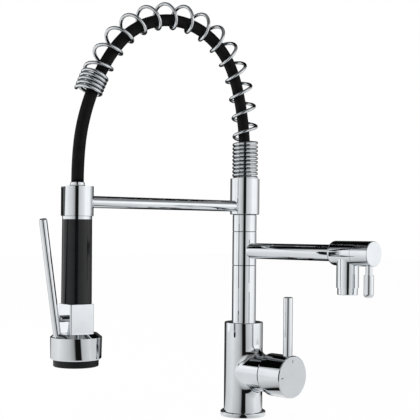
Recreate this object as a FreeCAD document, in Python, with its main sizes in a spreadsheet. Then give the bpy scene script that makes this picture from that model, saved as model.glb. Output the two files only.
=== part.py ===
"""Kitchen mixer tap: side-lever mixer body, second swivel spout with its own valve, and a spring arm
that carries a hose and a docked handset. Millimetres, +Z up, origin on the deck below the column."""
import FreeCAD, Part
import math
import os
import Sketcher
from FreeCAD import Placement, Rotation, Vector

document = FreeCAD.newDocument("kitchen_mixer_tap")
sheet = document.addObject("Spreadsheet::Sheet", "Sizes")

SIZES = {
    # Clearances
    "fit": 0.05,
    "running_gap": 0.3,
    "overrun": 2.0,
    # Base flange and its gasket
    "flange_margin": 3.75,
    "flange_height": 5.5,
    "flange_round": 1.8,
    "flange_ledge": 2.5,
    "flange_lip": 3.25,
    "gasket_edge": 2.0,
    "gasket_width": 2.5,
    "gasket_depth": 1.6,
    # Mixer body
    "body_margin": 1.25,
    "body_top": 103.0,
    "body_round": 1.0,
    "body_wall": 4.25,
    "recess_top": 18.0,
    "inlet_diameter": 10.0,
    "inlet_offset": 8.5,
    "inlet_depth": 10.0,
    "stud_diameter": 6.0,
    "stud_offset": 11.0,
    "handle_height": 49.5,
    "stub_wall": 2.5,
    "stub_reach": 37.7,
    "stub_fillet": 10.0,
    "waterway_diameter": 11.0,
    # Cartridge, its nut and the trim ring
    "cartridge_diameter": 35.0,
    "cartridge_length": 24.0,
    "cartridge_collar_step": 2.5,
    "cartridge_collar_height": 2.8,
    "cartridge_port_diameter": 6.0,
    "cartridge_port_radius": 9.0,
    "cartridge_port_depth": 6.0,
    "nut_step": 0.8,
    "nut_height": 5.5,
    "trim_thickness": 1.2,
    "trim_skirt_length": 6.8,
    "trim_skirt_wall": 1.4,
    "trim_step": 0.6,
    "trim_gap": 2.0,
    "turret_diameter": 22.0,
    "turret_depth": 9.7,
    "turret_rise": 12.8,
    "stem_diameter": 8.0,
    "stem_floor": 8.5,
    "stem_length": 29.0,
    "stem_pivot_depth": 2.8,
    "stem_swing": 8.8,
    "stem_pin_diameter": 2.5,
    "stem_pin_length": 18.0,
    # Handle
    "cap_margin": 2.5,
    "cap_wall": 1.9,
    "cap_gap": 1.7,
    "cap_slant": 5.4,
    "cap_depth": 31.4,
    "cap_end_wall": 4.0,
    "cap_bevel": 0.8,
    "cap_boss_diameter": 18.0,
    "cap_boss_depth": 21.0,
    "lever_diameter": 10.0,
    "lever_setback": 7.3,
    "lever_top": 84.0,
    "lever_round": 1.2,
    "handle_screw_diameter": 4.0,
    "handle_screw_setback": 2.5,
    "handle_screw_length": 6.0,
    "mark_radius": 16.5,
    "mark_width": 1.3,
    "mark_length": 3.6,
    "mark_depth": 0.4,
    # Riser column
    "riser_diameter": 26.4,
    "riser_seat": 6.0,
    "core_diameter": 18.0,
    "core_bore": 12.0,
    "core_foot_rise": 23.5,
    "core_end_gap": 1.0,
    "lower_riser_length": 62.7,
    "collar_height": 36.5,
    "washer_diameter": 25.4,
    "washer_thickness": 0.7,
    "upper_riser_length": 17.7,
    "ring_section": 1.6,
    "ring_inset": 6.5,
    # Side spout and its valve
    "spout_rise": 15.8,
    "spout_diameter": 17.0,
    "spout_bore": 13.0,
    "spout_root_gap": 1.6,
    "valve_start": 124.5,
    "valve_seat_depth": 4.0,
    "valve_length": 29.5,
    "valve_diameter": 25.0,
    "valve_shoulder": 3.6,
    "valve_bore": 13.0,
    "headwork_length": 7.0,
    "headwork_diameter": 18.8,
    "outlet_setback": 18.5,
    "outlet_diameter": 22.5,
    "outlet_drop": 34.5,
    "outlet_thread": 18.4,
    "outlet_thread_depth": 9.0,
    "outlet_waterway": 13.0,
    "aerator_diameter": 20.5,
    "aerator_drop": 7.0,
    "aerator_bore": 16.0,
    "aerator_neck_length": 7.0,
    "aerator_lip": 1.4,
    "aerator_hole_diameter": 1.5,
    "aerator_hole_radius": 5.4,
    "valve_cap_length": 21.0,
    "valve_cap_bevel": 0.8,
    "spindle_diameter": 8.0,
    "spindle_depth": 13.0,
    "spindle_stand": 9.0,
    "valve_lever_setback": 6.0,
    "valve_neck_diameter": 6.6,
    "valve_neck_seat": 4.0,
    "valve_knob_diameter": 10.0,
    "valve_knob_top": 21.0,
    "valve_knob_bottom": 43.1,
    "valve_knob_round": 3.5,
    "valve_neck_depth": 10.0,
    # Spring socket and docking arm
    "arm_angle": -99.0,
    "socket_diameter": 32.2,
    "socket_gap": 0.9,
    "socket_height": 39.5,
    "socket_round": 0.8,
    "socket_core_depth": 25.5,
    "spring_seat_depth": 8.0,
    "nipple_diameter": 9.8,
    "nipple_bore": 6.0,
    "nipple_flange_diameter": 15.0,
    "nipple_flange_thickness": 2.0,
    "socket_screw_diameter": 4.0,
    "socket_screw_rise": 9.5,
    "socket_groove_depth": 1.2,
    "socket_groove_width": 5.0,
    "dock_rise": 9.0,
    "dock_arm_diameter": 12.0,
    "dock_arm_seat": 3.0,
    "reach": 207.0,
    "dock_ring_diameter": 32.0,
    "dock_ring_wall": 1.3,
    "dock_ring_drop": 14.2,
    "dock_ring_rise": 15.0,
    "dock_slot_low": 7.6,
    "dock_slot_high": 9.4,
    # Hose and arch spring
    "hose_diameter": 12.4,
    "ferrule_wall": 0.9,
    "lower_ferrule_length": 14.0,
    "wire_diameter": 3.5,
    "coil_diameter": 25.0,
    "close_pitch": 4.2,
    "spring_start_angle": -144.0,
    # Handset
    "hose_nut_diameter": 18.0,
    "hose_nut_length": 12.5,
    "hose_nut_stand": 1.5,
    "hose_nut_bevel": 1.2,
    "upper_ferrule_length": 3.0,
    "neck_diameter": 28.7,
    "neck_inset": 0.5,
    "neck_round": 1.5,
    "neck_spigot_diameter": 22.0,
    "neck_spigot_length": 10.0,
    "grip_ring_diameter": 29.3,
    "grip_ring_height": 3.0,
    "grip_length": 83.0,
    "grip_top_diameter": 29.4,
    "grip_bottom_diameter": 30.0,
    "grip_edge_round": 1.0,
    "water_tube_diameter": 11.0,
    "water_tube_bore": 8.0,
    "water_tube_seat": 4.0,
    "block_margin": 12.4,
    "block_height": 28.5,
    "block_corner": 1.6,
    "block_spigot_length": 9.0,
    "block_waterway": 8.0,
    "housing_diameter": 50.8,
    "housing_taper": 0.5,
    "housing_wall_height": 21.7,
    "housing_cone_height": 3.8,
    "housing_cone_width": 4.7,
    "housing_bevel": 1.2,
    "nozzle_margin": 2.65,
    "nozzle_height": 7.0,
    "nozzle_step": 2.25,
    "nozzle_spigot_height": 5.5,
    "nozzle_bevel": 1.0,
    "jet_diameter": 1.6,
    "jet_depth": 3.0,
    "jet_row_gap": 6.5,
    "jet_edge": 4.75,
    "stream_diameter": 10.0,
    # Trigger
    "trigger_diameter": 7.8,
    "trigger_inset": 5.3,
    "trigger_pivot_drop": 4.5,
    "trigger_length": 117.5,
    "trigger_lean": 8.2,
    "trigger_tip_round": 2.2,
    "trigger_pin_diameter": 3.0,
    "trigger_pin_length": 18.0,
    "trigger_slot_room": 0.7,
    "plunger_diameter": 6.8,
    "plunger_rise": 14.5,
    "plunger_round": 1.1,
    "plunger_tail": 2.0,
    "plunger_bore_end": 4.0,
    "plunger_spring_wire": 0.8,
    "plunger_spring_coil": 4.6,
}

# Turns of the arch spring, from the socket to the free end
CLOSE_TURNS_AT_SOCKET = 11
OPEN_TURNS = 14
CLOSE_TURNS_AT_END = 5
PLUNGER_SPRING_TURNS = 3
AERATOR_HOLES = 10
INNER_JETS = 10
OUTER_JETS = 18
CARTRIDGE_PORTS = 3
# Bends of the spring's axis as shares of the reach, and the angle of each bend in degrees
ARCH_RADIUS_SHARES = (1.0386, 0.4155, 0.459)
ARCH_BEND_DEGREES = (18.0, 70.0, 56.0, 36.0)
# Room that the hose keeps below the crown of the spring, as a share of the play round it
HOSE_SAG_SHARE = 0.84
# Straight end of the hose above the upper ferrule, as a share of the reach
HOSE_END_SHARE = 0.0565
# Corners of the hose's route: outward and above the upper ferrule, as shares of the reach
HOSE_ROUTE_SHARES = (
    (0.0, 0.2420),
    (0.0338, 0.4613),
    (0.0865, 0.6227),
    (0.1575, 0.7222),
    (0.2556, 0.7961),
    (0.3710, 0.8372),
    (0.5048, 0.8415),
    (0.6435, 0.8000),
    (0.7618, 0.7159),
    (0.8676, 0.5705),
    (0.9551, 0.3739),
    (1.0, 0.1638),
)
ROUND_SHARE = 0.45
FREE_HOSE_RUNS = 2
# The spring's free end lies where its last bend has turned by this share of its angle
SPRING_END_SHARE = 0.41
# Steps of a coil: quarters of a turn, quarters over which a change of pitch is eased, and the small part
# of a quarter that its direction is taken over
QUARTERS = 4
EASE_STEPS = 2
TANGENT_STEP = 0.02


class Size:
    """A length or angle together with the sheet formula that gives it."""

    def __init__(self, value, formula):
        self.value = value
        self.formula = formula

    def join(self, other, sign, value):
        return Size(value, f"({self.formula} {sign} {as_size(other).formula})")

    def __add__(self, other):
        return self.join(other, "+", self.value + as_size(other).value)

    def __sub__(self, other):
        return self.join(other, "-", self.value - as_size(other).value)

    def __mul__(self, other):
        return self.join(other, "*", self.value * as_size(other).value)

    def __truediv__(self, other):
        return self.join(other, "/", self.value / as_size(other).value)

    def __neg__(self):
        return Size(-self.value, f"(0 - {self.formula})")


def as_size(number):
    """Any plain count or zero as a Size."""
    if isinstance(number, Size):
        return number
    return Size(float(number), str(number))


class Sheet:
    """The cells of the sheet, read by name."""


size = Sheet()
for row, (alias, number) in enumerate(SIZES.items(), 1):
    sheet.set(f"A{row}", alias)
    sheet.set(f"B{row}", str(number))
    sheet.setAlias(f"B{row}", alias)
document.recompute()
for alias in SIZES:
    setattr(size, alias, Size(float(getattr(sheet, alias)), f"Sizes.{alias}"))

# Diameters worked out from the cartridge, outwards to the flange
size.cartridge_collar_diameter = size.cartridge_diameter - size.cartridge_collar_step * 2
size.nut_diameter = size.cartridge_diameter + size.nut_step * 2
size.stub_diameter = size.cartridge_diameter + size.stub_wall * 2
size.cap_diameter = size.stub_diameter + size.cap_margin * 2
size.body_diameter = size.stub_diameter + size.body_margin * 2
size.recess_diameter = size.body_diameter - size.body_wall * 2
size.flange_diameter = size.body_diameter + size.flange_margin * 2
size.flange_opening = size.body_diameter - size.flange_lip * 2
size.gasket_outer = size.flange_diameter - size.gasket_edge * 2
size.gasket_inner = size.gasket_outer - size.gasket_width * 2
# Places worked out from the lengths in the sheet: the column, upwards from the body
size.collar_bottom = size.body_top + size.lower_riser_length
size.collar_top = size.collar_bottom + size.collar_height
size.riser_top = size.collar_top + size.washer_thickness + size.upper_riser_length
size.spout_height = size.collar_bottom + size.spout_rise
size.socket_bottom = size.riser_top + size.socket_gap
size.socket_top = size.socket_bottom + size.socket_height
size.socket_screw_height = size.socket_bottom + size.socket_screw_rise
size.core_bottom = size.handle_height + size.core_foot_rise
size.core_top = size.socket_bottom + size.socket_core_depth - size.core_end_gap
size.dock_height = size.socket_bottom + size.dock_rise
size.dock_ring_bottom = size.dock_height - size.dock_ring_drop
size.dock_ring_top = size.dock_height + size.dock_ring_rise
# The handle's side, outwards from the column
size.cartridge_shoulder = size.stub_reach - size.nut_height
size.cartridge_top = size.cartridge_shoulder + size.cartridge_collar_height
size.cartridge_seat = size.cartridge_shoulder - size.cartridge_length
size.turret_foot = size.cartridge_shoulder - size.turret_depth
size.turret_top = size.cartridge_top + size.turret_rise
size.stem_foot = size.turret_foot + size.stem_floor
size.stem_end = size.stem_foot + size.stem_length
size.stem_pivot = size.turret_top - size.stem_pivot_depth
size.trim_skirt_end = size.stub_reach + size.trim_skirt_length
size.cap_rear_top = size.stub_reach + size.trim_thickness + size.cap_gap
size.cap_rear_bottom = size.cap_rear_top + size.cap_slant
size.cap_front = size.cap_rear_top + size.cap_depth
size.cap_boss_rear = size.cap_front - size.cap_boss_depth
size.lever_place = size.cap_front - size.lever_setback
size.handle_screw_place = size.cap_boss_rear + size.handle_screw_setback
# The spout, outwards from the column
size.spout_root = size.core_diameter / 2 + size.spout_root_gap
size.valve_seat = size.valve_start + size.valve_seat_depth
size.valve_end = size.valve_start + size.valve_length
size.headwork_start = size.valve_end - size.headwork_length
size.outlet_place = size.valve_start + size.outlet_setback
size.valve_cap_end = size.valve_end + size.valve_cap_length
size.spindle_start = size.valve_end - size.spindle_depth
size.spindle_end = size.valve_end + size.spindle_stand
size.valve_lever_place = size.valve_cap_end - size.valve_lever_setback
# The handset, downwards from the docking ring
size.neck_top = size.dock_ring_top - size.neck_inset
size.hose_nut_top = size.neck_top + size.hose_nut_stand
size.hose_nut_bottom = size.hose_nut_top - size.hose_nut_length
size.upper_ferrule_top = size.hose_nut_top + size.upper_ferrule_length
size.grip_top = size.dock_ring_bottom - size.running_gap - size.grip_ring_height
size.grip_bottom = size.grip_top - size.grip_length
size.water_tube_bottom = size.grip_bottom - size.water_tube_seat
size.housing_top = size.grip_bottom - size.block_height
size.housing_rim = size.housing_top - size.housing_cone_height
size.housing_bottom = size.housing_rim - size.housing_wall_height
size.nozzle_bottom = size.housing_bottom - size.nozzle_height
# Widths of the spray head, from the housing
size.block_side = size.housing_diameter - size.block_margin * 2
size.housing_top_diameter = size.housing_diameter - size.housing_cone_width * 2
size.housing_low_diameter = size.housing_diameter - size.housing_taper * 2
size.nozzle_diameter = size.housing_low_diameter - size.nozzle_margin * 2
size.nozzle_spigot_diameter = size.nozzle_diameter - size.nozzle_step * 2
size.jet_outer_radius = size.nozzle_diameter / 2 - size.jet_edge
size.jet_inner_radius = size.jet_outer_radius - size.jet_row_gap
# The trigger: its slot follows its pivot, and its plunger's tip rests against the leaning lever
trigger_radius = size.trigger_diameter / 2
size.trigger_pivot_out = size.housing_diameter / 2 - size.trigger_inset
size.trigger_pivot_height = size.housing_top - size.trigger_pivot_drop
size.trigger_slot_bottom = size.trigger_pivot_height - trigger_radius - size.trigger_slot_room
size.trigger_slot_in = size.trigger_pivot_out - trigger_radius - size.trigger_slot_room
size.trigger_slot_out = size.trigger_pivot_out + trigger_radius + size.trigger_slot_room
size.plunger_height = size.housing_top + size.plunger_rise
lean = math.radians(size.trigger_lean.value)
lean_slope = Size(math.tan(lean), "tan(Sizes.trigger_lean * 1 deg)")
lean_shrink = Size(math.cos(lean), "cos(Sizes.trigger_lean * 1 deg)")
plunger_foot = size.plunger_height - size.plunger_diameter / 2 + size.plunger_round
size.plunger_tip = size.trigger_pivot_out + (plunger_foot - size.trigger_pivot_height) * lean_slope
size.plunger_tip = size.plunger_tip - trigger_radius / lean_shrink - size.fit

UP = Vector(0, 0, 1)
ALONG = Vector(1, 0, 0)
ASIDE = Vector(0, 1, 0)
pieces = []


def piece(label):
    """A new body whose label names its file."""
    body = document.addObject("PartDesign::Body", label)
    body.Label = label
    pieces.append(body)
    return body


def bind(thing, name, number):
    """Tie one property to the sheet."""
    number = as_size(number)
    setattr(thing, name, number.value)
    thing.setExpression(name, number.formula)


def locate(feature, at, direction):
    """Put a feature at a place inside its body, with its axis along a direction."""
    spot = [as_size(number) for number in at]
    feature.Placement = Placement(Vector(*[number.value for number in spot]), Rotation(UP, direction))
    for name, number in zip("xyz", spot):
        feature.setExpression(f"Placement.Base.{name}", number.formula)


def turned(body, outline, cut=False):
    """Turn a closed outline of (radius, height) corners about the body's own Z axis."""
    sketch = body.newObject("Sketcher::SketchObject", f"{body.Name}_outline")
    plane = [item for item in body.Origin.OriginFeatures if item.Role == "XZ_Plane"][0]
    sketch.AttachmentSupport = [(plane, "")]
    sketch.MapMode = "FlatFace"
    corners = [(as_size(radius), as_size(height)) for radius, height in outline]
    spots = [Vector(radius.value, height.value, 0) for radius, height in corners]
    for start, end in zip(spots, spots[1:] + spots[:1]):
        sketch.addGeometry(Part.LineSegment(start, end), False)
    count = len(corners)
    for index in range(count):
        sketch.addConstraint(Sketcher.Constraint("Coincident", index, 2, (index + 1) % count, 1))
    for index, (radius, height) in enumerate(corners):
        for kind, number, axis in (("DistanceX", radius, -2), ("DistanceY", height, -1)):
            if number.value == 0:
                sketch.addConstraint(Sketcher.Constraint("PointOnObject", index, 1, axis))
                continue
            tie = sketch.addConstraint(Sketcher.Constraint(kind, -1, 1, index, 1, number.value))
            sketch.setExpression(f"Constraints[{tie}]", number.formula)
    kind = "PartDesign::Groove" if cut else "PartDesign::Revolution"
    turn = body.newObject(kind, f"{body.Name}_turn")
    turn.Profile = sketch
    turn.ReferenceAxis = (sketch, ["V_Axis"])
    turn.Angle = 360
    document.recompute()
    return turn


def rod(body, radius, length, at=(0, 0, 0), direction=UP, cut=False):
    """A round bar added to a body, or a round hole cut in it."""
    kind = "PartDesign::SubtractiveCylinder" if cut else "PartDesign::AdditiveCylinder"
    feature = body.newObject(kind, f"{body.Name}_rod")
    bind(feature, "Radius", radius)
    bind(feature, "Height", length)
    locate(feature, at, direction)
    document.recompute()
    return feature


def block(body, sides, at, cut=False):
    """A square-edged block added to a body, or a slot cut in it, from its lowest corner."""
    kind = "PartDesign::SubtractiveBox" if cut else "PartDesign::AdditiveBox"
    feature = body.newObject(kind, f"{body.Name}_block")
    for name, number in zip(("Length", "Width", "Height"), sides):
        bind(feature, name, number)
    locate(feature, at, UP)
    document.recompute()
    return feature


def rounded(body, radius, wanted, bevel=False):
    """Round or bevel the edges of a body that a test picks."""
    base = body.Tip
    names = [f"Edge{number}" for number, edge in enumerate(base.Shape.Edges, 1) if wanted(edge)]
    kind = "PartDesign::Chamfer" if bevel else "PartDesign::Fillet"
    feature = body.newObject(kind, f"{body.Name}_edge")
    feature.Base = (base, names)
    bind(feature, "Size" if bevel else "Radius", radius)
    document.recompute()
    return feature


def rim(radius, height):
    """A test for the circular edge of that radius at that height on the body's Z axis."""
    radius = as_size(radius).value
    height = as_size(height).value

    def wanted(edge):
        if not isinstance(edge.Curve, Part.Circle):
            return False
        centre = edge.Curve.Center
        near_axis = math.hypot(centre.x, centre.y) < radius / 100
        return near_axis and math.isclose(edge.Curve.Radius, radius, rel_tol=1e-4) and math.isclose(
            centre.z, height, rel_tol=1e-4, abs_tol=radius / 1000)

    return wanted


def repeated(body, feature, count):
    """Repeat a feature round the body's Z axis."""
    pattern = body.newObject("PartDesign::PolarPattern", f"{body.Name}_pattern")
    pattern.Originals = [feature]
    axis = [item for item in body.Origin.OriginFeatures if item.Role == "Z_Axis"][0]
    pattern.Axis = (axis, [""])
    pattern.Angle = 360
    pattern.Occurrences = count
    body.Tip = pattern
    document.recompute()
    return pattern


def ring(label, inner, outer, bottom, top):
    """A plain ring or sleeve."""
    body = piece(label)
    turned(body, [(inner / 2, bottom), (outer / 2, bottom), (outer / 2, top), (inner / 2, top)])
    return body


def sideways(height):
    """The frame of the handle and the spout: own Z runs outward, own X points up."""
    return Placement(Vector(0, 0, height.value), Rotation(Vector(1, 0, 1), 180))


ARM_FRAME = Placement(Vector(0, 0, 0), Rotation(UP, size.arm_angle.value))
HANDSET_FRAME = ARM_FRAME.multiply(Placement(Vector(size.reach.value, 0, 0), Rotation()))
HANDLE_FRAME = sideways(size.handle_height)
SPOUT_FRAME = sideways(size.spout_height)


def build_base():
    """Flange with its gasket, and the cast mixer body with its side stub and waterways."""
    flange = piece("base_flange")
    outer = size.flange_diameter / 2
    turned(flange, [
        (size.flange_opening / 2, 0),
        (size.gasket_inner / 2, 0),
        (size.gasket_inner / 2, size.gasket_depth),
        (size.gasket_outer / 2, size.gasket_depth),
        (size.gasket_outer / 2, 0),
        (outer, 0),
        (outer, size.flange_height),
        (size.body_diameter / 2 + size.fit, size.flange_height),
        (size.body_diameter / 2 + size.fit, size.flange_ledge),
        (size.flange_opening / 2, size.flange_ledge),
    ])
    rounded(flange, size.flange_round, rim(outer, size.flange_height))
    ring("base_gasket", size.gasket_inner + size.fit * 2, size.gasket_outer - size.fit * 2,
         as_size(0), size.gasket_depth)

    body = piece("main_body")
    radius = size.body_diameter / 2
    turned(body, [
        (size.recess_diameter / 2, size.flange_ledge),
        (radius, size.flange_ledge),
        (radius, size.body_top),
        (0, size.body_top),
        (0, size.recess_top),
        (size.recess_diameter / 2, size.recess_top),
    ])
    axis_height = size.handle_height
    rod(body, size.stub_diameter / 2, size.stub_reach, (0, 0, axis_height), ALONG)
    rounded(body, size.stub_fillet, lambda edge: isinstance(edge.Curve, Part.BSplineCurve))
    rounded(body, size.body_round, rim(radius, size.body_top))
    rod(body, size.cartridge_diameter / 2 + size.fit, size.stub_reach - size.cartridge_seat + size.overrun,
        (size.cartridge_seat, 0, axis_height), ALONG, cut=True)
    rod(body, size.nut_diameter / 2 + size.fit, size.stub_reach - size.cartridge_shoulder + size.overrun,
        (size.cartridge_shoulder, 0, axis_height), ALONG, cut=True)
    rod(body, size.riser_diameter / 2 + size.fit, size.riser_seat + size.overrun,
        (0, 0, size.body_top - size.riser_seat), cut=True)
    rod(body, size.core_diameter / 2 + size.fit, size.body_top - size.core_bottom,
        (0, 0, size.core_bottom), cut=True)
    rod(body, size.waterway_diameter / 2, size.core_bottom - axis_height + size.overrun,
        (0, 0, axis_height), cut=True)
    rod(body, size.waterway_diameter / 2, size.cartridge_seat + size.overrun, (0, 0, axis_height), ALONG,
        cut=True)
    for side in (1, -1):
        rod(body, size.inlet_diameter / 2, size.inlet_depth + size.overrun,
            (0, size.inlet_offset * side, size.recess_top - size.overrun), cut=True)
        rod(body, size.stud_diameter / 2, size.inlet_depth + size.overrun,
            (size.stud_offset * side, 0, size.recess_top - size.overrun), cut=True)


def build_cartridge():
    """The mixing cartridge, its nut, the trim ring over it, and the turret that carries the stem."""
    cartridge = piece("cartridge_body")
    radius = size.cartridge_diameter / 2
    bore = size.turret_diameter / 2 + size.fit
    turned(cartridge, [
        (0, size.cartridge_seat),
        (radius, size.cartridge_seat),
        (radius, size.cartridge_shoulder),
        (size.cartridge_collar_diameter / 2, size.cartridge_shoulder),
        (size.cartridge_collar_diameter / 2, size.cartridge_top),
        (bore, size.cartridge_top),
        (bore, size.turret_foot - size.fit),
        (0, size.turret_foot - size.fit),
    ])
    port = rod(cartridge, size.cartridge_port_diameter / 2, size.cartridge_port_depth + size.overrun,
               (size.cartridge_port_radius, 0, size.cartridge_seat - size.overrun), cut=True)
    repeated(cartridge, port, CARTRIDGE_PORTS)
    cartridge.Placement = HANDLE_FRAME

    nut = ring("cartridge_nut", size.cartridge_collar_diameter + size.fit * 2, size.nut_diameter,
               size.cartridge_shoulder, size.stub_reach)
    nut.Placement = HANDLE_FRAME

    trim = piece("trim_ring")
    skirt = size.cap_diameter / 2 - size.cap_wall - size.running_gap * 4
    trim_front = size.stub_reach + size.trim_thickness
    opening = size.turret_diameter / 2 + size.trim_gap
    turned(trim, [
        (opening, size.stub_reach),
        (skirt + size.trim_step, size.stub_reach),
        (skirt + size.trim_step, trim_front),
        (skirt, trim_front),
        (skirt, size.trim_skirt_end),
        (skirt - size.trim_skirt_wall, size.trim_skirt_end),
        (skirt - size.trim_skirt_wall, trim_front),
        (opening, trim_front),
    ])
    rounded(trim, size.trim_skirt_wall / 2, rim(skirt, size.trim_skirt_end))
    trim.Placement = HANDLE_FRAME

    turret = piece("cartridge_turret")
    radius = size.turret_diameter / 2
    turned(turret, [(0, size.turret_foot), (radius, size.turret_foot), (radius, size.turret_top),
                    (0, size.turret_top)])
    width = size.stem_diameter + size.fit * 2
    slot_foot = size.stem_foot - size.running_gap * 4
    block(turret, (size.stem_swing * 2, width, size.turret_top - slot_foot + size.overrun),
          (-size.stem_swing, -width / 2, slot_foot), cut=True)
    rod(turret, size.stem_pin_diameter / 2 + size.fit, size.stem_pin_length,
        (0, -size.stem_pin_length / 2, size.stem_pivot), ASIDE, cut=True)
    turret.Placement = HANDLE_FRAME

    pin = piece("stem_pin")
    rod(pin, size.stem_pin_diameter / 2, size.stem_pin_length,
        (0, -size.stem_pin_length / 2, size.stem_pivot), ASIDE)
    pin.Placement = HANDLE_FRAME


def build_handle():
    """Stem, hollow cap with a slanted rear rim, pin lever, set screw and the two index marks."""
    stem = piece("handle_stem")
    radius = size.stem_diameter / 2
    turned(stem, [(0, size.stem_foot), (radius, size.stem_foot), (radius, size.stem_end), (0, size.stem_end)])
    rod(stem, size.stem_pin_diameter / 2 + size.fit, size.stem_diameter + size.overrun * 2,
        (0, -size.stem_diameter / 2 - size.overrun, size.stem_pivot), ASIDE, cut=True)
    stem.Placement = HANDLE_FRAME

    cap = piece("handle_cap")
    outer = size.cap_diameter / 2
    inner = outer - size.cap_wall
    floor = size.cap_front - size.cap_end_wall
    boss = size.cap_boss_diameter / 2
    turned(cap, [
        (inner, size.cap_rear_top),
        (outer, size.cap_rear_top),
        (outer, size.cap_front),
        (0, size.cap_front),
        (0, size.cap_boss_rear),
        (boss, size.cap_boss_rear),
        (boss, floor),
        (inner, floor),
    ])
    rounded(cap, size.cap_bevel, rim(outer, size.cap_front), bevel=True)
    slant_cut(cap)
    rod(cap, radius + size.fit, size.stem_end - size.cap_boss_rear + size.overrun + size.fit,
        (0, 0, size.cap_boss_rear - size.overrun), cut=True)
    rod(cap, size.lever_diameter / 2 + size.fit, outer, (boss + size.fit, 0, size.lever_place), ALONG,
        cut=True)
    rod(cap, size.handle_screw_diameter / 2 + size.fit, outer + size.overrun, (0, 0, size.handle_screw_place),
        ALONG, cut=True)
    for up, aside in ((size.mark_radius, 0), (0, size.mark_radius)):
        mark_pocket(cap, up, aside)
    cap.Placement = HANDLE_FRAME

    lever = piece("handle_lever")
    foot = boss + size.fit
    rod(lever, size.lever_diameter / 2, size.lever_top - foot, (foot, 0, size.lever_place), ALONG)
    rounded(lever, size.lever_round, lambda edge: edge.BoundBox.XMin > size.lever_top.value - size.fit.value)
    lever.Placement = HANDLE_FRAME

    screw = piece("handle_screw")
    rod(screw, size.handle_screw_diameter / 2, size.handle_screw_length,
        (radius + size.fit, 0, size.handle_screw_place), ALONG)
    screw.Placement = HANDLE_FRAME

    marks = (("index_mark_top", size.mark_radius, 0), ("index_mark_side", 0, size.mark_radius))
    for label, up, aside in marks:
        mark = piece(label)
        mark_block(mark, up, aside, size.fit, False)
        mark.Placement = HANDLE_FRAME


def mark_block(body, up, aside, gap, cut):
    """The block of one index mark on the cap's face, turned to point at the axis."""
    long_up = as_size(up).value > 0
    high = (size.mark_length if long_up else size.mark_width) - gap * 2
    wide = (size.mark_width if long_up else size.mark_length) - gap * 2
    block(body, (high, wide, size.mark_depth), (as_size(up) - high / 2, as_size(aside) - wide / 2,
          size.cap_front - size.mark_depth), cut)


def mark_pocket(cap, up, aside):
    """The shallow pocket that one index mark lies in."""
    mark_block(cap, up, aside, as_size(0), True)


def slant_cut(cap):
    """Cut the cap's rear rim back towards its lower side, so that the cap can tilt."""
    sketch = cap.newObject("Sketcher::SketchObject", f"{cap.Name}_slant")
    plane = [item for item in cap.Origin.OriginFeatures if item.Role == "XZ_Plane"][0]
    sketch.AttachmentSupport = [(plane, "")]
    sketch.MapMode = "FlatFace"
    reach = size.cap_diameter / 2 + size.overrun
    corners = [
        (reach, size.cap_rear_top - size.overrun),
        (reach, size.cap_rear_top),
        (-reach, size.cap_rear_bottom),
        (-reach, size.cap_rear_top - size.overrun),
    ]
    spots = [Vector(across.value, along.value, 0) for across, along in corners]
    for start, end in zip(spots, spots[1:] + spots[:1]):
        sketch.addGeometry(Part.LineSegment(start, end), False)
    for index, (across, along) in enumerate(corners):
        sketch.addConstraint(Sketcher.Constraint("Coincident", index, 2, (index + 1) % len(corners), 1))
        for kind, number in (("DistanceX", across), ("DistanceY", along)):
            tie = sketch.addConstraint(Sketcher.Constraint(kind, -1, 1, index, 1, number.value))
            sketch.setExpression(f"Constraints[{tie}]", number.formula)
    pocket = cap.newObject("PartDesign::Pocket", f"{cap.Name}_slant_cut")
    pocket.Profile = sketch
    pocket.Midplane = True
    bind(pocket, "Length", reach * 2)
    document.recompute()


def build_riser():
    """Fixed core tube with its sleeves, slide washers and O-rings."""
    core = piece("riser_core")
    radius = size.core_diameter / 2
    groove = radius - size.socket_groove_depth
    groove_low = size.socket_screw_height - size.socket_groove_width / 2
    groove_high = size.socket_screw_height + size.socket_groove_width / 2
    turned(core, [
        (size.core_bore / 2, size.core_bottom),
        (radius, size.core_bottom),
        (radius, groove_low),
        (groove, groove_low),
        (groove, groove_high),
        (radius, groove_high),
        (radius, size.core_top),
        (size.core_bore / 2, size.core_top),
    ])
    half = size.ring_section / 2 + size.fit
    for height in seal_heights():
        turned(core, [
            (radius - size.ring_section, height - half),
            (radius + size.overrun, height - half),
            (radius + size.overrun, height + half),
            (radius - size.ring_section, height + half),
        ], cut=True)
    rod(core, size.spout_bore / 4, size.core_diameter, (0, 0, size.spout_height), ALONG, cut=True)

    sleeve = size.core_diameter + size.fit * 2
    ring("riser_lower", sleeve, size.riser_diameter, size.body_top - size.riser_seat,
         size.collar_bottom - size.washer_thickness)
    ring("slide_washer_low", sleeve, size.washer_diameter, size.collar_bottom - size.washer_thickness,
         size.collar_bottom)
    ring("slide_washer_high", sleeve, size.washer_diameter, size.collar_top,
         size.collar_top + size.washer_thickness)
    ring("riser_upper", sleeve, size.riser_diameter, size.collar_top + size.washer_thickness, size.riser_top)
    ring("slide_washer_top", sleeve, size.washer_diameter, size.riser_top, size.socket_bottom - size.fit)

    seals = []
    for number, height in enumerate(seal_heights(), 1):
        seal = document.addObject("Part::Torus", f"seal_{number}")
        bind(seal, "Radius1", radius - size.ring_section / 2)
        bind(seal, "Radius2", size.ring_section / 2 - size.fit)
        seal.Placement = Placement(Vector(0, 0, height.value), Rotation())
        seal.setExpression("Placement.Base.z", height.formula)
        seals.append(seal)
    group = document.addObject("Part::Compound", "swivel_seals")
    group.Label = "swivel_seals"
    group.Links = seals
    pieces.append(group)


def seal_heights():
    """Heights of the O-rings inside the spout collar and the spring socket."""
    low = size.collar_bottom + size.ring_inset
    high = size.collar_top - size.ring_inset
    return (low, high, size.core_top - size.ring_inset)


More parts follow.
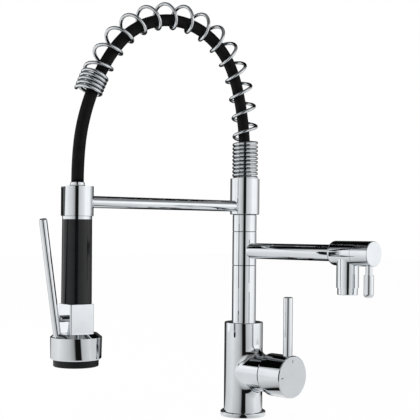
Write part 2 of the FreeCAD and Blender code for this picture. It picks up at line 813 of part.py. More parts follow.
def build_spout():
    """Swivel collar, tube, cast valve body with its outlet, aerator and quarter-turn headwork."""
    collar = ring("spout_collar", size.core_diameter + size.fit * 2, size.riser_diameter,
                  size.collar_bottom + size.fit, size.collar_top - size.fit)
    rod(collar, size.spout_diameter / 2 + size.fit, size.riser_diameter,
        (size.spout_root - size.fit, 0, size.spout_height), ALONG, cut=True)
    rod(collar, size.spout_bore / 2, size.riser_diameter / 2, (0, 0, size.spout_height), ALONG, cut=True)

    tube = ring("spout_tube", size.spout_bore, size.spout_diameter, size.spout_root, size.valve_seat)
    tube.Placement = SPOUT_FRAME

    valve = piece("spout_valve_body")
    radius = size.valve_diameter / 2
    turned(valve, [
        (0, size.valve_start),
        (radius, size.valve_start),
        (radius, size.valve_end),
        (0, size.valve_end),
    ])
    rounded(valve, size.valve_shoulder, rim(radius, size.valve_start))
    rod(valve, size.outlet_diameter / 2, size.outlet_drop, (0, 0, size.outlet_place), -ALONG)
    seat_depth = size.valve_seat - size.valve_start + size.fit
    rod(valve, size.spout_diameter / 2 + size.fit, seat_depth + size.overrun,
        (0, 0, size.valve_start - size.overrun), cut=True)
    rod(valve, size.valve_bore / 2, size.headwork_start - size.valve_start, (0, 0, size.valve_start),
        cut=True)
    rod(valve, size.headwork_diameter / 2 + size.fit, size.valve_end - size.headwork_start + size.overrun,
        (0, 0, size.headwork_start - size.fit), cut=True)
    rod(valve, size.outlet_waterway / 2, size.outlet_drop, (0, 0, size.outlet_place), -ALONG, cut=True)
    rod(valve, size.outlet_thread / 2, size.outlet_thread_depth + size.overrun,
        (-size.outlet_drop + size.outlet_thread_depth, 0, size.outlet_place), -ALONG, cut=True)
    valve.Placement = SPOUT_FRAME

    headwork = ring("valve_headwork", size.spindle_diameter + size.fit * 2, size.headwork_diameter,
                    size.headwork_start, size.valve_end)
    headwork.Placement = SPOUT_FRAME

    outlet = Placement(Vector(size.outlet_place.value, 0, size.spout_height.value), Rotation())
    seat = -size.outlet_drop
    lip = seat - size.aerator_drop
    neck = size.outlet_thread / 2 - size.fit
    bore = size.aerator_bore / 2
    housing = piece("aerator_housing")
    turned(housing, [
        (bore - size.aerator_lip, lip),
        (size.aerator_diameter / 2, lip),
        (size.aerator_diameter / 2, seat),
        (neck, seat),
        (neck, seat + size.aerator_neck_length),
        (bore, seat + size.aerator_neck_length),
        (bore, lip + size.aerator_lip),
        (bore - size.aerator_lip, lip + size.aerator_lip),
    ])
    rounded(housing, size.aerator_lip / 2, rim(size.aerator_diameter / 2, lip))
    housing.Placement = outlet

    insert = piece("aerator_insert")
    radius = bore - size.fit
    foot = lip + size.aerator_lip
    turned(insert, [(0, foot), (radius, foot), (radius, seat + size.aerator_neck_length),
                    (0, seat + size.aerator_neck_length)])
    hole = rod(insert, size.aerator_hole_diameter / 2, size.aerator_drop + size.aerator_neck_length,
               (size.aerator_hole_radius, 0, foot - size.overrun), cut=True)
    repeated(insert, hole, AERATOR_HOLES)
    insert.Placement = outlet

    washer = ring("aerator_washer", size.outlet_waterway, size.outlet_thread - size.fit * 2,
                  seat + size.aerator_neck_length, seat + size.outlet_thread_depth)
    washer.Placement = outlet


def build_spout_valve():
    """End cap of the spout with its spindle and the small hanging lever."""
    cap = piece("valve_cap")
    radius = size.valve_diameter / 2
    start = size.valve_end + size.running_gap
    turned(cap, [(0, start), (radius, start), (radius, size.valve_cap_end), (0, size.valve_cap_end)])
    rounded(cap, size.valve_cap_bevel, rim(radius, size.valve_cap_end))
    rod(cap, size.spindle_diameter / 2 + size.fit, size.spindle_end - start + size.overrun + size.fit,
        (0, 0, start - size.overrun), cut=True)
    seat = radius - size.valve_neck_seat
    rod(cap, size.valve_neck_diameter / 2 + size.fit, radius, (-seat + size.fit, 0, size.valve_lever_place),
        -ALONG, cut=True)
    cap.Placement = SPOUT_FRAME

    spindle = piece("valve_spindle")
    radius = size.spindle_diameter / 2
    turned(spindle, [(0, size.spindle_start), (radius, size.spindle_start), (radius, size.spindle_end),
                     (0, size.spindle_end)])
    spindle.Placement = SPOUT_FRAME

    neck = piece("valve_lever_neck")
    rod(neck, size.valve_neck_diameter / 2, size.valve_knob_top + size.valve_neck_depth - seat,
        (-seat, 0, size.valve_lever_place), -ALONG)
    neck.Placement = SPOUT_FRAME

    knob = piece("valve_lever_knob")
    rod(knob, size.valve_knob_diameter / 2, size.valve_knob_bottom - size.valve_knob_top,
        (-size.valve_knob_top, 0, size.valve_lever_place), -ALONG)
    lowest = -size.valve_knob_bottom.value + size.fit.value
    rounded(knob, size.valve_knob_round, lambda edge: edge.BoundBox.XMax < lowest)
    rod(knob, size.valve_neck_diameter / 2 + size.fit, size.valve_neck_depth + size.overrun + size.fit,
        (-size.valve_knob_top + size.overrun, 0, size.valve_lever_place), -ALONG, cut=True)
    knob.Placement = SPOUT_FRAME


def build_arm():
    """Spring socket, hose nipple, docking arm and docking ring."""
    socket = piece("spring_socket")
    outer = size.socket_diameter / 2
    seat = size.socket_top - size.spring_seat_depth
    core_end = size.socket_bottom + size.socket_core_depth
    turned(socket, [
        (size.core_diameter / 2 + size.fit, size.socket_bottom),
        (outer, size.socket_bottom),
        (outer, size.socket_top),
        (spring_room() / 2, size.socket_top),
        (spring_room() / 2, seat),
        (size.nipple_diameter / 2 + size.fit, seat),
        (size.nipple_diameter / 2 + size.fit, core_end),
        (size.core_diameter / 2 + size.fit, core_end),
    ])
    rounded(socket, size.socket_round, rim(outer, size.socket_bottom))
    rod(socket, size.dock_arm_diameter / 2 + size.fit, outer,
        (outer - size.dock_arm_seat - size.fit, 0, size.dock_height), ALONG, cut=True)
    rod(socket, size.socket_screw_diameter / 2 + size.fit, outer + size.overrun,
        (0, 0, size.socket_screw_height), -ALONG, cut=True)
    socket.Placement = ARM_FRAME

    screw = piece("socket_screw")
    tip = size.core_diameter / 2 - size.socket_groove_depth + size.running_gap
    rod(screw, size.socket_screw_diameter / 2, outer - tip - size.socket_round,
        (-tip, 0, size.socket_screw_height), -ALONG)
    screw.Placement = ARM_FRAME

    nipple = piece("hose_nipple")
    turned(nipple, [
        (size.nipple_bore / 2, core_end),
        (size.nipple_diameter / 2, core_end),
        (size.nipple_diameter / 2, seat),
        (size.nipple_flange_diameter / 2, seat),
        (size.nipple_flange_diameter / 2, seat + size.nipple_flange_thickness),
        (size.nipple_bore / 2, seat + size.nipple_flange_thickness),
    ])
    nipple.Placement = ARM_FRAME

    foot = seat + size.nipple_flange_thickness
    room = size.hose_diameter + size.fit * 2
    sleeve = ring("lower_ferrule", room, room + size.ferrule_wall * 2, foot, foot + size.lower_ferrule_length)
    sleeve.Placement = ARM_FRAME

    ring_outer = size.dock_ring_diameter / 2
    arm = piece("docking_arm")
    root = outer - size.dock_arm_seat
    rod(arm, size.dock_arm_diameter / 2, size.reach - root, (root, 0, size.dock_height), ALONG)
    rod(arm, ring_outer + size.fit, size.dock_arm_diameter + size.overrun * 2,
        (size.reach, 0, size.dock_height - size.dock_arm_diameter / 2 - size.overrun), cut=True)
    arm.Placement = ARM_FRAME

    holder = piece("docking_ring")
    bore = ring_outer - size.dock_ring_wall
    turned(holder, [(bore, size.dock_ring_bottom), (ring_outer, size.dock_ring_bottom),
                    (ring_outer, size.dock_ring_top), (bore, size.dock_ring_top)])
    slot_cut(holder)
    holder.Placement = HANDSET_FRAME


def spring_room():
    """Bore of the socket that takes the foot of the spring."""
    return size.coil_diameter + size.wire_diameter + size.running_gap * 2


def slot_cut(holder):
    """Cut the outward slot of the docking ring, wider at the top than at the bottom."""
    sketch = holder.newObject("Sketcher::SketchObject", f"{holder.Name}_slot")
    plane = [item for item in holder.Origin.OriginFeatures if item.Role == "YZ_Plane"][0]
    sketch.AttachmentSupport = [(plane, "")]
    sketch.MapMode = "FlatFace"
    low = size.dock_slot_low / 2
    high = size.dock_slot_high / 2
    bottom = size.dock_ring_bottom - size.overrun
    top = size.dock_ring_top + size.overrun
    corners = [(-low, bottom), (low, bottom), (high, top), (-high, top)]
    spots = [Vector(across.value, along.value, 0) for across, along in corners]
    for start, end in zip(spots, spots[1:] + spots[:1]):
        sketch.addGeometry(Part.LineSegment(start, end), False)
    for index, (across, along) in enumerate(corners):
        sketch.addConstraint(Sketcher.Constraint("Coincident", index, 2, (index + 1) % len(corners), 1))
        for kind, number in (("DistanceX", across), ("DistanceY", along)):
            tie = sketch.addConstraint(Sketcher.Constraint(kind, -1, 1, index, 1, number.value))
            sketch.setExpression(f"Constraints[{tie}]", number.formula)
    whole = holder.Shape.Volume
    pocket = holder.newObject("PartDesign::Pocket", f"{holder.Name}_slot_cut")
    pocket.Profile = sketch
    bind(pocket, "Length", size.dock_ring_diameter)
    pocket.Reversed = True
    document.recompute()
    print(f"docking ring slot takes {whole - holder.Shape.Volume:.1f} mm3")


def shape_piece(label, shape, place):
    """A piece whose shape is worked out here, set in its frame."""
    thing = document.addObject("Part::Feature", label)
    thing.Label = label
    thing.Shape = shape
    thing.Placement = place
    pieces.append(thing)
    return thing


def hose_route():
    """Corners of the hose's route in the arm's own plane, from the nipple to the upper ferrule."""
    reach = size.reach.value
    top = size.upper_ferrule_top.value
    foot = size.socket_top - size.spring_seat_depth + size.nipple_flange_thickness
    corners = [Vector(0, 0, foot.value)]
    for out, above in HOSE_ROUTE_SHARES:
        corners.append(Vector(out * reach, 0, top + above * reach))
    corners.append(Vector(reach, 0, top))
    return corners


def hose_edges(corners):
    """Straight runs joined by tangent arcs, each as large as its two runs allow."""
    edges = []
    radii = []
    here = corners[0]
    for before, corner, after in zip(corners, corners[1:], corners[2:]):
        back = (before - corner).normalize()
        ahead = (after - corner).normalize()
        turn = math.pi - back.getAngle(ahead)
        setback = ROUND_SHARE * min((before - corner).Length, (after - corner).Length)
        radius = setback / math.tan(turn / 2)
        radii.append(radius)
        start = corner + back * setback
        end = corner + ahead * setback
        middle = (back + ahead).normalize()
        centre = corner + middle * (radius / math.cos(turn / 2))
        crest = centre - middle * radius
        edges.append(Part.LineSegment(here, start).toShape())
        edges.append(Part.Arc(start, crest, end).toShape())
        here = end
    edges.append(Part.LineSegment(here, corners[-1]).toShape())
    print("hose radii", " ".join(f"{radius:.0f}" for radius in radii))
    return edges


def swept_hose(edges):
    """A round hose along joined edges, with its volume compared with section times length."""
    wire = Part.Wire(edges)
    start = edges[0].valueAt(edges[0].FirstParameter)
    heading = edges[0].tangentAt(edges[0].FirstParameter)
    radius = size.hose_diameter.value / 2
    profile = Part.Wire(Part.makeCircle(radius, start, heading))
    shape = wire.makePipeShell([profile], True, False)
    share = shape.Volume / (math.pi * radius ** 2 * wire.Length)
    print(f"hose length {wire.Length:.1f}, volume share {share:.4f}")
    return shape


def build_hose():
    """The hose in two stretches: under the spring, and the free drop to the handset."""
    edges = hose_edges(hose_route())
    free = 2 * FREE_HOSE_RUNS - 1
    run = edges[-free]
    ends = [vertex.Point for vertex in run.Vertexes]
    middle = (ends[0] + ends[1]) / 2
    first = Part.LineSegment(ends[0], middle).toShape()
    second = Part.LineSegment(middle, ends[1]).toShape()
    shape_piece("hose_arch", swept_hose(edges[:-free] + [first]), ARM_FRAME)
    shape_piece("hose_drop", swept_hose([second] + edges[len(edges) - free + 1:]), ARM_FRAME)


class ArchAxis:
    """The spring's axis: a straight foot and tangent bends that end above the handset."""

    def __init__(self):
        reach = size.reach.value
        play = (size.coil_diameter.value - size.wire_diameter.value - size.hose_diameter.value) / 2
        self.sag = HOSE_SAG_SHARE * play
        foot = size.socket_top.value - size.spring_seat_depth.value + size.wire_diameter.value / 2
        foot += size.running_gap.value
        radii = [share * reach for share in ARCH_RADIUS_SHARES]
        out, rise = 0.0, 0.0
        heading = 0.0
        for radius, bend in zip(radii, ARCH_BEND_DEGREES):
            turned_to = heading + math.radians(bend)
            out += radius * (math.cos(heading) - math.cos(turned_to))
            rise += radius * (math.sin(turned_to) - math.sin(heading))
            heading = turned_to
        last = (reach + self.sag - out) / (1 + math.cos(heading))
        radii.append(last)
        end_height = size.upper_ferrule_top.value + HOSE_END_SHARE * reach
        start_height = end_height + last * math.sin(heading) - rise
        self.start = Vector(0, 0, foot)
        self.straight = start_height - foot
        self.bends = list(zip(radii, [math.radians(bend) for bend in ARCH_BEND_DEGREES]))

    def at(self, distance):
        """The point, the heading and the sideways normal at a distance along the axis."""
        if distance <= self.straight:
            return self.start + UP * distance, UP, ALONG
        spot = self.start + UP * self.straight
        distance -= self.straight
        heading = 0.0
        for radius, bend in self.bends:
            step = min(distance / radius, bend)
            reached = heading + step
            spot = spot + Vector(radius * (math.cos(heading) - math.cos(reached)), 0,
                                 radius * (math.sin(reached) - math.sin(heading)))
            heading = reached
            distance -= step * radius
            if distance <= 0:
                break
        forward = Vector(math.sin(heading), 0, math.cos(heading))
        return spot, forward, Vector(math.cos(heading), 0, -math.sin(heading))


def biarc(start, start_way, end, end_way):
    """Two tangent arcs between two points with given directions."""
    chord = end - start
    total = start_way + end_way
    along = chord.dot(total)
    reach = chord.dot(chord)
    shrink = 2 * (1 - start_way.dot(end_way))
    root = math.sqrt(along * along + reach * shrink)
    step = reach / (along + root)
    first_knee = start + start_way * step
    second_knee = end - end_way * step
    joint = (first_knee + second_knee) / 2
    edges = []
    for left, knee, right in ((start, first_knee, joint), (joint, second_knee, end)):
        middle = (left + right) / 2
        out = knee - middle
        half = (right - left).Length / 2
        if out.Length < half * 1e-4:
            edges.append(Part.LineSegment(left, right).toShape())
            continue
        turn = math.atan2(out.Length, half)
        crest = middle + out.normalize() * (half * math.tan(turn / 2))
        edges.append(Part.Arc(left, crest, right).toShape())
    return edges


def coil_edges(axis_at, pitches, radius, wire, start_angle=0.0):
    """Biarc edges of a right-hand helix, a quarter turn each, that climbs an axis by the given pitches."""
    steps = [pitch / QUARTERS for pitch in pitches for _ in range(QUARTERS)]
    leads = [0.0]
    for index in range(len(steps)):
        near = steps[max(index - EASE_STEPS, 0):index + EASE_STEPS + 1]
        leads.append(leads[-1] + sum(near) / len(near))

    def point(place):
        whole = min(int(place), len(steps) - 1)
        lead = leads[whole] + (place - whole) * (leads[whole + 1] - leads[whole])
        spot, forward, normal = axis_at(lead)
        side = forward.cross(normal)
        angle = start_angle + 2 * math.pi * place / QUARTERS
        return spot + (normal * math.cos(angle) + side * math.sin(angle)) * radius

    spots = [point(index) for index in range(len(leads))]
    ways = []
    for index in range(len(leads)):
        behind = point(max(index - TANGENT_STEP, 0))
        ways.append((point(min(index + TANGENT_STEP, len(steps))) - behind).normalize())
    tail = wire / 2
    edges = [Part.LineSegment(spots[0] - ways[0] * tail, spots[0]).toShape()]
    for index in range(len(spots) - 1):
        edges.extend(biarc(spots[index], ways[index], spots[index + 1], ways[index + 1]))
    edges.append(Part.LineSegment(spots[-1], spots[-1] + ways[-1] * tail).toShape())
    return edges


def wound(label, edges, wire, place):
    """One unbroken wire along a coil's edges, with its least gap to itself measured and printed."""
    path = Part.Wire(edges)
    start = edges[0].valueAt(edges[0].FirstParameter)
    profile = Part.Wire(Part.makeCircle(wire / 2, start, edges[0].tangentAt(edges[0].FirstParameter)))
    shape = path.makePipeShell([profile], True, False)
    spacing = wire / 2
    spots = path.discretize(Distance=spacing)
    apart = int(math.pi * wire / spacing)
    least = min((one - other).Length for index, one in enumerate(spots) for other in spots[index + apart:])
    share = shape.Volume / (math.pi * (wire / 2) ** 2 * path.Length)
    gap = least - wire
    print(f"{label}: wire {path.Length:.0f}, least gap to itself {gap:.2f}, volume share {share:.4f}")
    return shape_piece(label, shape, place)


def build_spring():
    """The arch spring: close turns in the socket, open turns over the arch, close turns at its free end."""
    axis = ArchAxis()
    close = size.close_pitch.value
    length = axis.straight + sum(radius * bend for radius, bend in axis.bends[:-1])
    length += SPRING_END_SHARE * axis.bends[-1][0] * axis.bends[-1][1]
    open_pitch = (length - (CLOSE_TURNS_AT_SOCKET + CLOSE_TURNS_AT_END) * close) / OPEN_TURNS
    pitches = [close] * CLOSE_TURNS_AT_SOCKET + [open_pitch] * OPEN_TURNS + [close] * CLOSE_TURNS_AT_END
    wire = size.wire_diameter.value
    start = math.radians(size.spring_start_angle.value)
    edges = coil_edges(axis.at, pitches, size.coil_diameter.value / 2, wire, start)
    wound("arch_spring", edges, wire, ARM_FRAME)


def build_handset():
    """Hose end, neck, grip, valve block, spray housing and nozzle plate."""
    nut = piece("hose_nut")
    radius = size.hose_nut_diameter / 2
    tube = size.water_tube_diameter / 2
    bore = size.nipple_bore / 2
    turned(nut, [(bore, size.hose_nut_bottom), (radius, size.hose_nut_bottom), (radius, size.hose_nut_top),
                 (bore, size.hose_nut_top)])
    rounded(nut, size.hose_nut_bevel, rim(radius, size.hose_nut_top), bevel=True)
    nut.Placement = HANDSET_FRAME

    sleeve = piece("upper_ferrule")
    radius = size.hose_diameter / 2 + size.ferrule_wall
    turned(sleeve, [(bore, size.hose_nut_top), (radius, size.hose_nut_top), (radius, size.upper_ferrule_top),
                    (bore, size.upper_ferrule_top)])
    rounded(sleeve, size.ferrule_wall / 2, rim(radius, size.upper_ferrule_top))
    sleeve.Placement = HANDSET_FRAME

    neck = piece("handset_neck")
    ring_top = size.grip_top + size.grip_ring_height
    spigot = size.neck_spigot_diameter / 2
    nut_room = size.hose_nut_diameter / 2 + size.fit
    turned(neck, [
        (tube + size.fit, size.grip_top - size.neck_spigot_length),
        (spigot, size.grip_top - size.neck_spigot_length),
        (spigot, ring_top),
        (size.neck_diameter / 2, ring_top),
        (size.neck_diameter / 2, size.neck_top),
        (nut_room, size.neck_top),
        (nut_room, size.hose_nut_bottom - size.fit),
        (tube + size.fit, size.hose_nut_bottom - size.fit),
    ])
    rounded(neck, size.neck_round, rim(size.neck_diameter / 2, size.neck_top))
    neck.Placement = HANDSET_FRAME

    band = ring("grip_ring", size.neck_spigot_diameter + size.fit * 2, size.grip_ring_diameter, size.grip_top,
                ring_top)
    band.Placement = HANDSET_FRAME

    grip = piece("grip_shell")
    bore = spigot + size.fit
    turned(grip, [
        (bore, size.grip_bottom),
        (size.grip_bottom_diameter / 2, size.grip_bottom),
        (size.grip_top_diameter / 2, size.grip_top),
        (bore, size.grip_top),
    ])
    rounded(grip, size.grip_edge_round, rim(size.grip_bottom_diameter / 2, size.grip_bottom))
    grip.Placement = HANDSET_FRAME

    pipe = ring("water_tube", size.water_tube_bore, size.water_tube_diameter, size.water_tube_bottom,
                size.hose_nut_bottom - size.fit)
    pipe.Placement = HANDSET_FRAME

    square = piece("valve_block")
    half = size.block_side / 2
    block(square, (size.block_side, size.block_side, size.grip_bottom - size.housing_top),
          (-half, -half, size.housing_top))
    rounded(square, size.block_corner, lambda edge: edge.BoundBox.ZLength > size.block_corner.value)
    rod(square, spigot, size.block_spigot_length, (0, 0, size.grip_bottom))
    tube_room = size.grip_bottom + size.block_spigot_length - size.water_tube_bottom
    rod(square, tube + size.fit, tube_room + size.overrun, (0, 0, size.water_tube_bottom), cut=True)
    rod(square, size.block_waterway / 2, size.water_tube_bottom - size.housing_top + size.overrun * 2,
        (0, 0, size.housing_top - size.overrun), cut=True)
    rod(square, size.plunger_diameter / 2 + size.fit, size.block_side,
        (-size.plunger_bore_end, 0, size.plunger_height), ALONG, cut=True)
    square.Placement = HANDSET_FRAME

    housing = piece("spray_housing")
    low = size.housing_low_diameter / 2
    recess = size.nozzle_spigot_diameter / 2 + size.fit
    turned(housing, [
        (0, size.housing_bottom + size.nozzle_spigot_height),
        (recess, size.housing_bottom + size.nozzle_spigot_height),
        (recess, size.housing_bottom),
        (low, size.housing_bottom),
        (size.housing_diameter / 2, size.housing_rim),
        (size.housing_top_diameter / 2, size.housing_top),
        (0, size.housing_top),
    ])
    rounded(housing, size.housing_bevel, rim(low, size.housing_bottom), bevel=True)
    rod(housing, size.block_waterway / 2, size.housing_top - size.housing_bottom + size.overrun,
        (0, 0, size.housing_bottom), cut=True)
    width = size.trigger_diameter + size.running_gap * 2
    pin_room = size.trigger_pin_length + size.fit * 2
    rod(housing, size.trigger_pin_diameter / 2 + size.fit, pin_room,
        (size.trigger_pivot_out, -pin_room / 2, size.trigger_pivot_height), ASIDE, cut=True)
    block(housing, (size.trigger_slot_out - size.trigger_slot_in, width,
                    size.housing_top - size.trigger_slot_bottom + size.overrun),
          (size.trigger_slot_in, -width / 2, size.trigger_slot_bottom), cut=True)
    housing.Placement = HANDSET_FRAME

    nozzle = piece("nozzle_plate")
    radius = size.nozzle_diameter / 2
    spigot = size.nozzle_spigot_diameter / 2
    top = size.housing_bottom + size.nozzle_spigot_height
    turned(nozzle, [(0, size.nozzle_bottom), (radius, size.nozzle_bottom), (radius, size.housing_bottom),
                    (spigot, size.housing_bottom), (spigot, top), (0, top)])
    rounded(nozzle, size.nozzle_bevel, rim(radius, size.nozzle_bottom))
    rod(nozzle, size.stream_diameter / 2, size.jet_depth + size.overrun,
        (0, 0, size.nozzle_bottom - size.overrun), cut=True)
    for count, far in ((INNER_JETS, size.jet_inner_radius), (OUTER_JETS, size.jet_outer_radius)):
        jet = rod(nozzle, size.jet_diameter / 2, size.jet_depth + size.overrun,
                  (far, 0, size.nozzle_bottom - size.overrun), cut=True)
        repeated(nozzle, jet, count)
    nozzle.Placement = HANDSET_FRAME


def build_trigger():
    """The long trigger lever on its pin, the plunger that it pushes, and the plunger's spring."""
    lean = Placement(Vector(size.trigger_pivot_out.value, 0, size.trigger_pivot_height.value),
                     Rotation(ASIDE, size.trigger_lean.value))
    frame = HANDSET_FRAME.multiply(lean)
    radius = size.trigger_diameter / 2
    lever = piece("trigger_lever")
    rod(lever, radius, size.trigger_length)
    rounded(lever, size.trigger_tip_round, rim(radius, size.trigger_length))
    rod(lever, radius, size.trigger_diameter, (0, -radius, 0), ASIDE)
    rod(lever, size.trigger_pin_diameter / 2 + size.fit, size.trigger_diameter + size.overrun * 2,
        (0, -radius - size.overrun, 0), ASIDE, cut=True)
    lever.Placement = frame

    pin = piece("trigger_pin")
    rod(pin, size.trigger_pin_diameter / 2, size.trigger_pin_length,
        (size.trigger_pivot_out, -size.trigger_pin_length / 2, size.trigger_pivot_height), ASIDE)
    pin.Placement = HANDSET_FRAME

    plunger = piece("trigger_plunger")
    radius = size.plunger_diameter / 2
    rod(plunger, radius, size.plunger_tip - size.plunger_tail, (size.plunger_tail, 0, size.plunger_height),
        ALONG)
    tip = size.plunger_tip.value - size.fit.value
    rounded(plunger, size.plunger_round, lambda edge: edge.BoundBox.XMin > tip)
    plunger.Placement = HANDSET_FRAME

    wire = size.plunger_spring_wire.value
    room = size.plunger_tail.value + size.plunger_bore_end.value - wire - size.fit.value * 4
    start = Vector(-size.plunger_bore_end.value + wire / 2 + size.fit.value * 2, 0, size.plunger_height.value)
    pitches = [room / PLUNGER_SPRING_TURNS] * PLUNGER_SPRING_TURNS
    edges = coil_edges(lambda distance: (start + ALONG * distance, ALONG, UP), pitches,
                       size.plunger_spring_coil.value / 2, wire)
    wound("plunger_spring", edges, wire, HANDSET_FRAME)


build_base()
build_cartridge()
build_handle()
build_riser()
build_spout()
build_spout_valve()
build_arm()
build_hose()
build_spring()
build_handset()
build_trigger()
document.recompute()

for thing in document.Objects:
    if "Invalid" in thing.State or "Error" in thing.State:
        raise RuntimeError(f"{thing.Label} failed: {thing.State}")
for thing in pieces:
    if thing.Shape.isNull() or not thing.Shape.isValid() or not thing.Shape.Solids:
        raise RuntimeError(f"{thing.Label} has no sound solid")

os.makedirs("parts", exist_ok=True)
for thing in pieces:
    thing.Shape.exportStep(f"parts/{thing.Label}.step")
    print(f"{thing.Label}: {len(thing.Shape.Solids)} solid, {thing.Shape.Volume:.0f} mm3")
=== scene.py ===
"""Looks of the kitchen mixer tap: hose, springs, spray nubs, finishes and a plain studio."""

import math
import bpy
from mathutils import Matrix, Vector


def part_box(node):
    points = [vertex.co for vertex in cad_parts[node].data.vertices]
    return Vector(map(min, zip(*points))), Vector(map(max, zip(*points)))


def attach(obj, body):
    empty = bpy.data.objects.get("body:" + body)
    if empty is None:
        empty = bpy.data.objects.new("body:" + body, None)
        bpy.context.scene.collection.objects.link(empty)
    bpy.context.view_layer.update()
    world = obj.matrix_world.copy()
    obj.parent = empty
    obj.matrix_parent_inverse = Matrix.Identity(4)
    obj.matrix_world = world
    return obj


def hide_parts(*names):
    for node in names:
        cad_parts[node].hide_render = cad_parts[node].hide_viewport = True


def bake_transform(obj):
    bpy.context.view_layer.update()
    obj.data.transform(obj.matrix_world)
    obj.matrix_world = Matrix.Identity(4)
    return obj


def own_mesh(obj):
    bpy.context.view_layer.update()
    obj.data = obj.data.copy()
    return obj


bl_info = {
    "name": "Kitchen Mixer Tap",
    "version": (1, 0, 0),
    "blender": (4, 5, 0),
    "location": "View3D > Sidebar > Tap",
    "description": "Dresses a spring-arch kitchen mixer tap and sets it in a plain studio",
    "category": "Object",
}

import bmesh
import bpy
from mathutils import Euler, Matrix, Vector

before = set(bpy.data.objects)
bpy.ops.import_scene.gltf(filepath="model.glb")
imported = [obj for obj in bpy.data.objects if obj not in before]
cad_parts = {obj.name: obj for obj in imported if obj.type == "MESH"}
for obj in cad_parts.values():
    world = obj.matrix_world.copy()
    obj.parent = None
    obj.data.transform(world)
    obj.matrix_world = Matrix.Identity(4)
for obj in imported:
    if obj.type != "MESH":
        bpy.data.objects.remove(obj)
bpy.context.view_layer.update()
UP = Vector((0, 0, 1))
WHITE = (1, 1, 1, 1)

# The arm's plane: the way that it points from the column, and the level normal of its plane
ARM_ANGLE = math.radians(-99.0)
OUTWARD = Vector((math.cos(ARM_ANGLE), math.sin(ARM_ANGLE), 0))
ACROSS = UP.cross(OUTWARD)

# Route of the hose in the arm's plane, outward and up, in metres
HOSE_ROUTE = (
    (0.0, 0.2550), (0.0, 0.2996), (0.0070, 0.3450), (0.0179, 0.3784), (0.0326, 0.3990), (0.0529, 0.4143),
    (0.0768, 0.4228), (0.1045, 0.4237), (0.1332, 0.4151), (0.1577, 0.3977), (0.1796, 0.3676),
    (0.1977, 0.3269), (0.2070, 0.2834), (0.2070, 0.2495),
)

CHROME_NODES = (
    "base_flange", "main_body", "trim_ring", "handle_cap", "handle_lever", "riser_lower", "riser_upper",
    "spout_collar", "spout_tube", "spout_valve_body", "aerator_housing", "valve_cap", "valve_lever_neck",
    "valve_lever_knob", "spring_socket", "docking_arm", "docking_ring", "upper_ferrule", "hose_nut",
    "grip_ring", "valve_block", "spray_housing", "trigger_lever",
)
STEEL_NODES = ("handle_screw", "socket_screw", "lower_ferrule")
PIN_NODES = ("stem_pin", "trigger_pin", "trigger_plunger")
BRASS_NODES = (
    "riser_core", "cartridge_nut", "valve_headwork", "valve_spindle", "hose_nipple", "handle_stem",
    "water_tube",
)
ACETAL_NODES = ("cartridge_body", "cartridge_turret", "aerator_insert")
WASHER_NODES = ("slide_washer_low", "slide_washer_high", "slide_washer_top")
SEAL_NODES = ("base_gasket", "swivel_seals", "aerator_washer")
GRIP_NODES = ("grip_shell", "handset_neck")
NOZZLE_NODES = ("nozzle_plate",)
MARK_NODES = ("index_mark_top", "index_mark_side")


class TapSizes(bpy.types.PropertyGroup):
    """Sizes of the pieces that are wound, bent or set in."""

    hose_diameter: bpy.props.FloatProperty(
        name="Hose diameter", description="Outside of the rubber hose", default=0.0124, unit="LENGTH")
    hose_length: bpy.props.FloatProperty(
        name="Hose length", description="From the nipple to the handset's ferrule", default=0.448,
        unit="LENGTH")
    wire_diameter: bpy.props.FloatProperty(
        name="Wire diameter", description="Wire of the arch spring", default=0.0035, unit="LENGTH")
    coil_diameter: bpy.props.FloatProperty(
        name="Coil diameter", description="Middle of the spring's turns", default=0.025, unit="LENGTH")
    close_pitch: bpy.props.FloatProperty(
        name="Close pitch", description="Pitch of the close turns at both ends", default=0.0042,
        unit="LENGTH")
    socket_turns: bpy.props.IntProperty(
        name="Turns at the socket", description="Close turns that stand on the socket", default=11)
    open_turns: bpy.props.IntProperty(
        name="Open turns", description="Open turns over the arch", default=14)
    end_turns: bpy.props.IntProperty(
        name="Turns at the end", description="Close turns at the free end", default=5)
    plunger_wire: bpy.props.FloatProperty(
        name="Plunger wire", description="Wire of the spring behind the plunger", default=0.0008,
        unit="LENGTH")
    plunger_coil: bpy.props.FloatProperty(
        name="Plunger coil", description="Middle of that spring's turns", default=0.0046, unit="LENGTH")
    nub_diameter: bpy.props.FloatProperty(
        name="Nub diameter", description="Silicone spray nubs", default=0.0024, unit="LENGTH")
    nub_height: bpy.props.FloatProperty(
        name="Nub height", description="How far a nub stands out of the plate", default=0.0004, unit="LENGTH")


